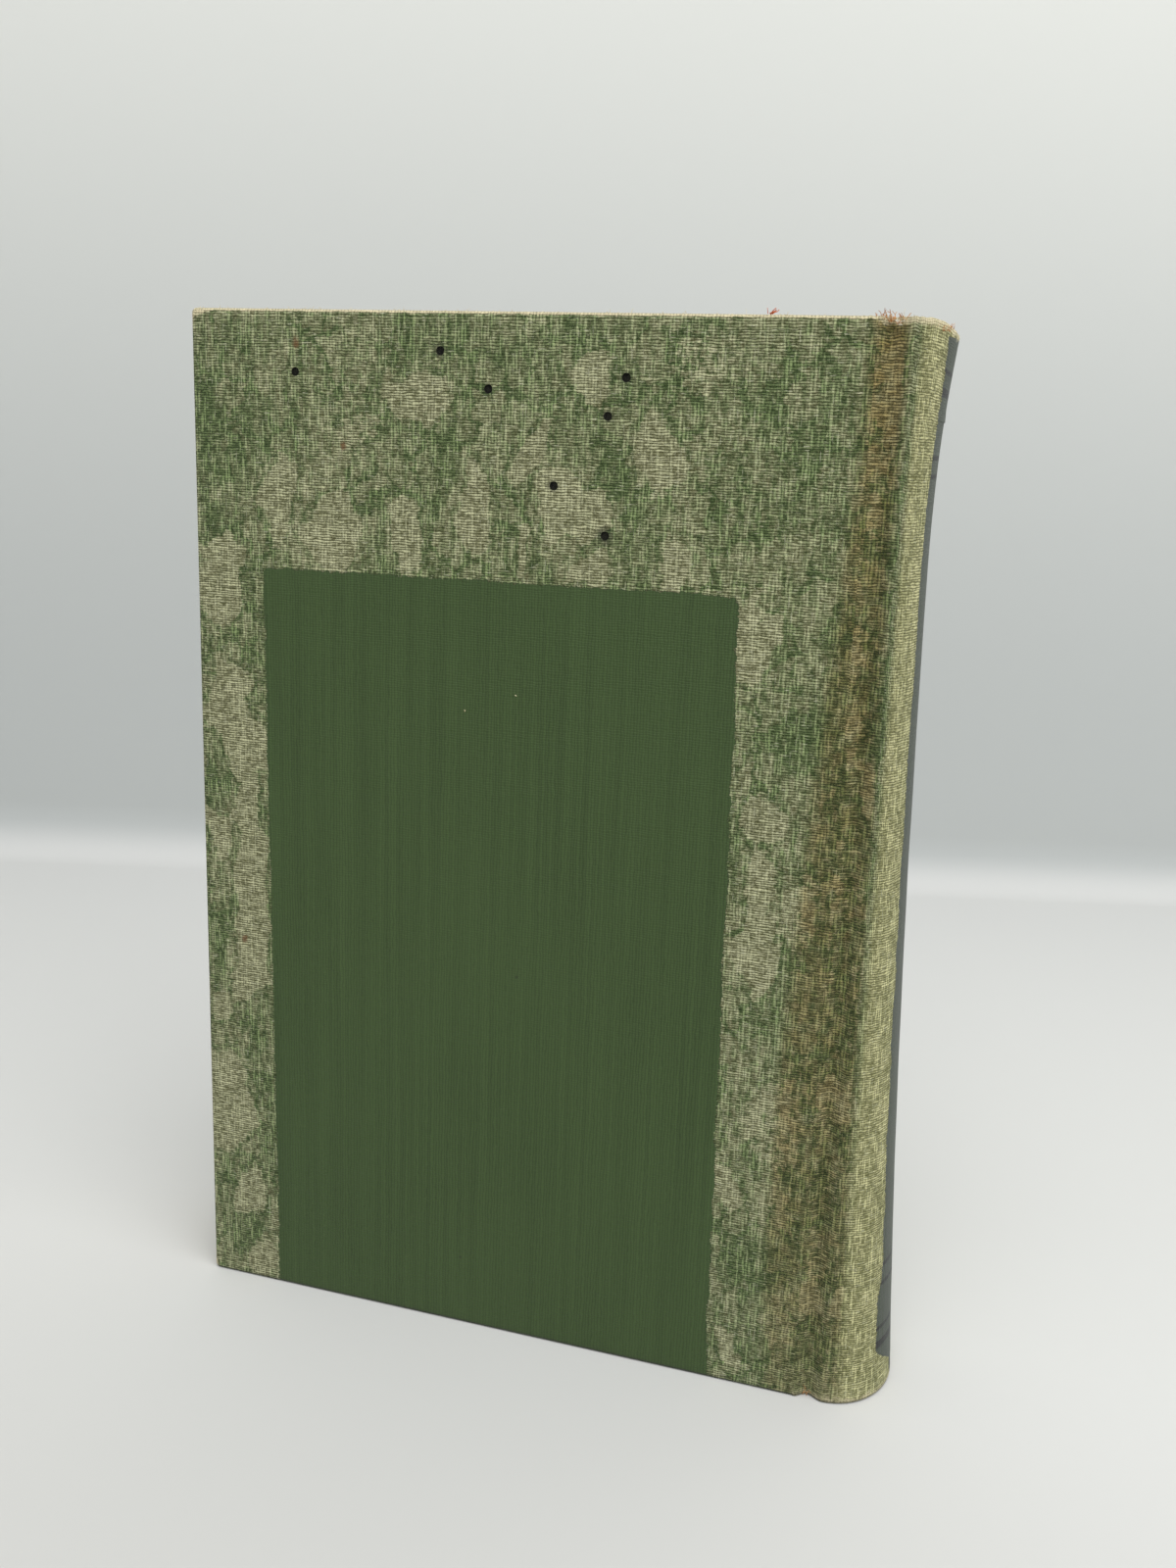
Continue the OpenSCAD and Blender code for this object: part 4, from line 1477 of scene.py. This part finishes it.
@dataclass
class HingePaper:
    """The pasted fold of an endpaper in one joint, from the board's edge to the shoulder."""

    side: Side
    rows: int = 60
    thickness: float = 0.15
    line: tuple[tuple[float, float], ...] = (
        (-0.7, 3.42), (-0.1, 3.42), (0.18, 3.25), (0.34, 2.95), (0.5, 2.65), (0.85, 2.42), (1.4, 2.35),
        (2.1, 2.2), (2.8, 1.9), (3.4, 1.55), (3.9, 1.3), (4.25, 1.15),
    )

    def build(self, material: bpy.types.Material) -> bpy.types.Object:
        """Makes the piece, which runs from its cover's edge to the shoulder of the text block."""
        columns = len(self.line) - 1
        obj = add_sheet(f"{self.side.value}_hinge_paper", columns, self.rows)
        cells = np.rint(points_of(obj) / MM).astype(int)
        places = []
        for column, _, row in cells:
            x, y = self.line[column]
            places.append((x, y, SIZES.square_w + (SIZES.board_h - 2 * SIZES.square_w) * row / self.rows))
        set_points(obj, SIZES.place(places))
        with editing(obj, "FACE"):
            bpy.ops.mesh.select_all(action="SELECT")
            bpy.ops.mesh.flip_normals()
        thicken(obj, self.thickness)
        if self.side is Side.FRONT:
            turn_over(obj)
        smooth_shade(obj, 60)
        start, end = SIZES.place(BEND)
        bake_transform(obj)
        return finish_piece(obj, "endpaper", material)


# Loose fibres


@dataclass(frozen=True)
class Tuft:
    """A cluster of frayed threads, by its middle, spread and look."""

    x: float
    y: float
    z: float
    spread: tuple[float, float, float]
    count: int
    length: float
    thread: float = 0.05
    lean: tuple[float, float, float] = (0.0, -0.3, 1.0)


@dataclass
class LooseThreads:
    """Frayed ends of cloth and bits of thread that cling to it."""

    name: str
    tufts: tuple[Tuft, ...]
    seed: int = 5

    def build(self, body: str, material: bpy.types.Material) -> bpy.types.Object:
        """Makes every thread as a thin tube and joins them into one piece.

        Args:
            body: The body that the threads ride on.
            material: Their material.

        Returns:
            The finished piece.
        """
        pick = random.Random(self.seed)
        curve = bpy.data.curves.new(self.name, "CURVE")
        curve.dimensions = "3D"
        curve.bevel_depth = 1.0 * MM
        curve.bevel_resolution = 0
        curve.resolution_u = 3
        curve.use_fill_caps = True
        for tuft in self.tufts:
            for _ in range(tuft.count):
                self._thread(curve, tuft, pick)
        obj = bpy.data.objects.new(self.name, curve)
        bpy.context.scene.collection.objects.link(obj)
        activate(obj)
        bpy.ops.object.convert(target="MESH")
        obj = bpy.context.object
        smooth_shade(obj, 80)
        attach(obj, body)
        return finish_piece(obj, "book_cloth", material)

    @staticmethod
    def _thread(curve: bpy.types.Curve, tuft: Tuft, pick: random.Random) -> None:
        """Adds one thread of a tuft to the curve."""
        spline = curve.splines.new("BEZIER")
        spline.bezier_points.add(3)
        at = np.array([tuft.x, tuft.y, tuft.z])
        at = at + np.array([pick.uniform(-1, 1) * part for part in tuft.spread])
        heading = np.array(tuft.lean, float) + np.array([pick.gauss(0, 0.45) for _ in range(3)])
        heading /= np.linalg.norm(heading)
        length = tuft.length * pick.uniform(0.5, 1.2)
        for index, point in enumerate(spline.bezier_points):
            point.co = SIZES.place(at[None, :])[0]
            point.handle_left_type = point.handle_right_type = "AUTO"
            point.radius = tuft.thread * pick.uniform(0.7, 1.1) * (1.0 - 0.12 * index)
            heading = heading + np.array([pick.gauss(0, 0.4) for _ in range(3)])
            heading /= np.linalg.norm(heading)
            at = at + heading * length / 3


# The room


@dataclass
class Studio:
    """Pale floor and backdrop with painted shade towards the front and low on the wall and painted light
    higher up, soft lamps and the camera.
    """

    floor_colour: tuple[int, int, int] = (216, 216, 213)
    # Painted shade and light: the floor's darker front tone and the wall's darker low and brighter high
    # tones.
    floor_front_shade: tuple[int, int, int] = (203, 202, 198)
    wall_low_shade: tuple[int, int, int] = (186, 189, 187)
    wall_high_light: tuple[int, int, int] = (222, 223, 218)
    far_colour: tuple[int, int, int] = (253, 250, 242)
    wall_away: float = 0.30
    turn: float = math.radians(16.7)
    half_width: float = 8.0
    reach: float = 8.0
    curve_r: float = 0.02
    wall_h: float = 1.6

    def build(self) -> None:
        """Makes the backdrop, the lamps, the world and the camera."""
        self._backdrop()
        self._world()
        self._lamps()
        self._camera()

    def _backdrop(self) -> None:
        """A floor that sweeps up into a wall, square to the camera and unseen from its back. Painted shade
        darkens the floor towards the front and the foot of the wall, and painted light brightens the wall
        higher up.
        """
        deselect()
        far = self.wall_away - self.curve_r
        bpy.ops.mesh.primitive_plane_add(size=1, location=(0, (far - self.reach) / 2, 0))
        obj = bpy.context.object
        obj.name = "backdrop"
        obj.scale = (2 * self.half_width, far + self.reach, 1)
        bpy.ops.object.transform_apply(location=True, rotation=True, scale=True)
        with editing(obj, "EDGE"):
            choose(obj, "edges", lambda e: abs(middle(e).y - far) < 1e-4)
            last = Vector((0, 0))
            for step in range(1, 9):
                a = step * math.pi / 16
                here = Vector((self.curve_r * math.sin(a), self.curve_r * (1 - math.cos(a))))
                move = (0, here.x - last.x, here.y - last.y)
                bpy.ops.mesh.extrude_edges_move(TRANSFORM_OT_translate={"value": move})
                last = here
            bpy.ops.mesh.extrude_edges_move(TRANSFORM_OT_translate={"value": (0, 0, self.wall_h)})
        obj.rotation_euler = (0, 0, self.turn)
        bpy.ops.object.transform_apply(location=True, rotation=True, scale=True)
        smooth_shade(obj, 60)
        material, g, shader = new_material("Backdrop paper")
        parts = g.split(g.node("ShaderNodeTexCoord").outputs["Object"])
        # Painted shade: the floor darkens towards the front.
        base = g.mix(g.step(parts.outputs[1], -0.2, 0.05), tint(*self.floor_front_shade), tint(*self.floor_colour))
        away = g.vector("DISTANCE", g.node("ShaderNodeTexCoord").outputs["Object"], (0.0, 0.0, 0.0))
        base = g.mix(g.step(away, 0.45, 1.5), base, tint(*self.far_colour))
        # Painted shade low on the wall, then painted light higher up.
        base = g.mix(g.step(parts.outputs[2], 0.0, 0.014), base, tint(*self.wall_low_shade))
        base = g.mix(g.step(parts.outputs[2], 0.06, 0.42), base, tint(*self.wall_high_light))
        g.feed(shader, "Base Color", base)
        shader.inputs["Roughness"].default_value = 0.9
        shader.inputs["Specular IOR Level"].default_value = 0.1
        unseen = g.node("ShaderNodeMixShader")
        g.feed(unseen, 0, g.node("ShaderNodeNewGeometry").outputs["Backfacing"])
        g.tree.links.new(shader.outputs[0], unseen.inputs[1])
        g.tree.links.new(g.node("ShaderNodeBsdfTransparent").outputs[0], unseen.inputs[2])
        g.tree.links.new(unseen.outputs[0], material.node_tree.nodes["Material Output"].inputs["Surface"])
        obj.data.materials.append(material)

    @staticmethod
    def _world() -> None:
        """Even light from all round, seen by the camera as a pale grey."""
        world = bpy.data.worlds.new("Soft room")
        bpy.context.scene.world = world
        world.use_nodes = True
        g = Graph(world.node_tree)
        light = world.node_tree.nodes["Background"]
        light.inputs["Color"].default_value = (0.95, 0.97, 1.0, 1)
        light.inputs["Strength"].default_value = 0.62
        seen = g.node("ShaderNodeBackground")
        seen.inputs["Color"].default_value = tint(203, 205, 203)
        pick = g.node("ShaderNodeMixShader")
        g.feed(pick, 0, g.node("ShaderNodeLightPath").outputs["Is Camera Ray"])
        g.tree.links.new(light.outputs[0], pick.inputs[1])
        g.tree.links.new(seen.outputs[0], pick.inputs[2])
        g.tree.links.new(pick.outputs[0], world.node_tree.nodes["World Output"].inputs["Surface"])

    @staticmethod
    def _lamps() -> None:
        """One large lamp above and in front, and a weak one from the right, in metres and watts."""
        for name, place, aim, size, power in (
            ("overhead", (0.25, -0.55, 1.1), (0.0, 0.0, 0.08), 0.9, 9.0),
            ("right", (0.9, -0.25, 0.5), (0.05, 0.0, 0.1), 0.6, 2.2),
        ):
            data = bpy.data.lights.new(name, "AREA")
            data.energy = power
            data.size = size
            lamp = bpy.data.objects.new(name, data)
            bpy.context.scene.collection.objects.link(lamp)
            lamp.location = place
            lamp.rotation_euler = (Vector(aim) - Vector(place)).to_track_quat("-Z", "Y").to_euler()

    @staticmethod
    def _camera() -> None:
        """The camera at the photograph's place, tilt and lens."""
        data = bpy.data.cameras.new("camera")
        data.sensor_width = 36.0
        data.lens = 32.85
        data.clip_start = 0.01
        camera = bpy.data.objects.new("camera", data)
        bpy.context.scene.collection.objects.link(camera)
        right = Vector((0.95442, 0.29609, 0.03744))
        down = Vector((0.10382, -0.2118, -0.97178))
        ahead = Vector((-0.27981, 0.93138, -0.23289))
        turned = Matrix((right, -down, -ahead)).transposed().to_4x4()
        camera.matrix_world = Matrix.Translation(Vector((78.23, -245.75, 169.62)) * MM) @ turned
        bpy.context.scene.camera = camera


# The book


class Book:
    """Builds every piece of the book in order."""

    def __init__(self, nodes: dict[str, bpy.types.Object]) -> None:
        """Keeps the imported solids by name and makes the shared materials."""
        self.nodes = nodes
        effects = Effects()
        self.cloth = ClothFinish().build(effects)
        # The beetle holes' material is a painted shade for the depth of the holes.
        self.pit = PlainFinish("Beetle hole shade", (34, 34, 26), (12, 13, 10), 2.0).build()
        self.pages = PageEdgeFinish().build()
        self.endpaper = PulpFinish("Endpaper", (224, 211, 180), (217, 202, 168), spots=0.4).build(effects)
        self.board = PulpFinish(
            "Greyboard", (150, 138, 110), (112, 100, 76), spots=0.2, size=2.0, relief=0.1
        ).build(effects)
        self.kraft = PulpFinish(
            "Lining paper", (158, 126, 84), (126, 96, 60), spots=0.2, size=1.5
        ).build(effects)
        self.card = PulpFinish(
            "Spine card", (164, 148, 112), (132, 116, 82), spots=0.3, size=1.5
        ).build(effects)
        self.mull = GauzeFinish().build(effects)
        self.thread = PlainFinish("Sewing thread", (228, 220, 196), (190, 178, 146), 3.0).build()
        self.cream_fray = PlainFinish("Frayed cloth", (232, 222, 190), (186, 170, 122), 0.6).build()
        self.tan_fray = PlainFinish("Stained fray", (206, 150, 96), (152, 98, 54), 0.6).build()
        self.lint = PlainFinish("Lint", (236, 232, 216), (214, 208, 188), 0.6).build()
        self.orange = PlainFinish("Orange thread", (214, 120, 72), (176, 84, 50), 0.6).build()

    def build(self) -> None:
        """Builds the cloth, the paper and the loose fibres, and dresses the solids that stay."""
        holes = (
            (-100.5, 179.5), (-73.2, 183.5), (-64.4, 177.5), (-40.4, 179.9), (-43.3, 173.7), (-43.0, 154.3),
            (-52.3, 162.1),
        )
        for side, plan, bored in ((Side.BACK, back_wear(), holes), (Side.FRONT, front_wear(), ())):
            CoverCloth(side=side, plan=plan, holes=bored).build(self.cloth, self.pit)
            SpineCloth(side=side, plan=plan).build(self.cloth, self.endpaper)
            HingePaper(side=side).build(self.endpaper)
        PageBlock().build(self.pages)
        self._fibres()
        self._dress_solids()

    def _fibres(self) -> None:
        """Frayed threads at the head of the joint and the spine, and bits on the top edge."""
        LooseThreads("head_fray", (
            Tuft(2.2, 0.9, 189.4, (2.2, 0.4, 0.3), 26, 1.3, 0.045),
            Tuft(8.5, 4.0, 188.6, (1.2, 2.4, 0.3), 18, 0.9, 0.04, (0.4, -0.2, 0.8)),
        ), 5).build("book_block", self.cream_fray)
        LooseThreads("joint_fray", (
            Tuft(1.2, 0.8, 189.4, (2.2, 0.5, 0.4), 40, 1.4, 0.075),
            Tuft(9.5, 3.0, 188.4, (1.0, 1.6, 0.3), 14, 1.0, 0.06, (0.4, -0.4, 0.8)),
            Tuft(1.2, 1.3, 1.0, (1.4, 0.3, 0.4), 16, 1.0, 0.06, (0.2, -0.4, -0.6)),
        ), 9).build("book_block", self.tan_fray)
        LooseThreads("white_fluff", (
            Tuft(2.6, 0.3, 189.0, (0.5, 0.2, 0.3), 16, 0.9, 0.05, (0.0, -0.6, 0.2)),
        ), 3).build("book_block", self.lint)
        LooseThreads("orange_bit", (
            Tuft(-17.8, 1.6, 190.2, (0.5, 0.3, 0.1), 9, 1.2, 0.09, (0.8, 0.0, 0.4)),
        ), 21).build("back_cover", self.orange)
        LooseThreads("back_corner_fray", (
            Tuft(-120.3, 1.4, 189.4, (0.4, 0.7, 0.4), 18, 0.8, 0.045, (-0.4, 0.0, 0.6)),
            Tuft(-60, 0.7, 190.0, (58, 0.5, 0.05), 70, 0.7, 0.035, (0.6, -0.2, 0.35)),
            Tuft(-67.7, -0.02, 122.3, (0.2, 0.02, 0.2), 3, 0.4, 0.06, (0.3, 0.0, 1.0)),
            Tuft(-58.1, -0.02, 125.8, (0.1, 0.02, 0.1), 2, 0.3, 0.07, (0.3, 0.0, 1.0)),
        ), 17).build("back_cover", self.cream_fray)

    def _dress_solids(self) -> None:
        """Gives every solid that shows its material."""
        looks = {
            "sewing_thread": self.thread, "spine_mull": self.mull, "spine_lining": self.kraft,
            "front_flyleaf": self.endpaper, "back_flyleaf": self.endpaper, "spine_inlay": self.card,
            "front_board": self.board, "back_board": self.board,
            "front_mull_flange": self.mull, "back_mull_flange": self.mull,
            "front_pastedown": self.endpaper, "back_pastedown": self.endpaper,
        }
        for name, material in looks.items():
            node = self.nodes[name]
            node.data.materials.clear()
            node.data.materials.append(material)
            LOG.info("%s: dressed as %s", name, material.name)


def main() -> None:
    """Loads the frame and builds the book and the room."""
    logging.basicConfig(level=logging.INFO, format="%(name)s: %(message)s")
    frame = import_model()
    Book(frame["nodes"]).build()
    Studio().build()
    bpy.context.scene.view_settings.view_transform = "Standard"
    bpy.context.view_layer.update()


if __name__ == "__main__":
    main()
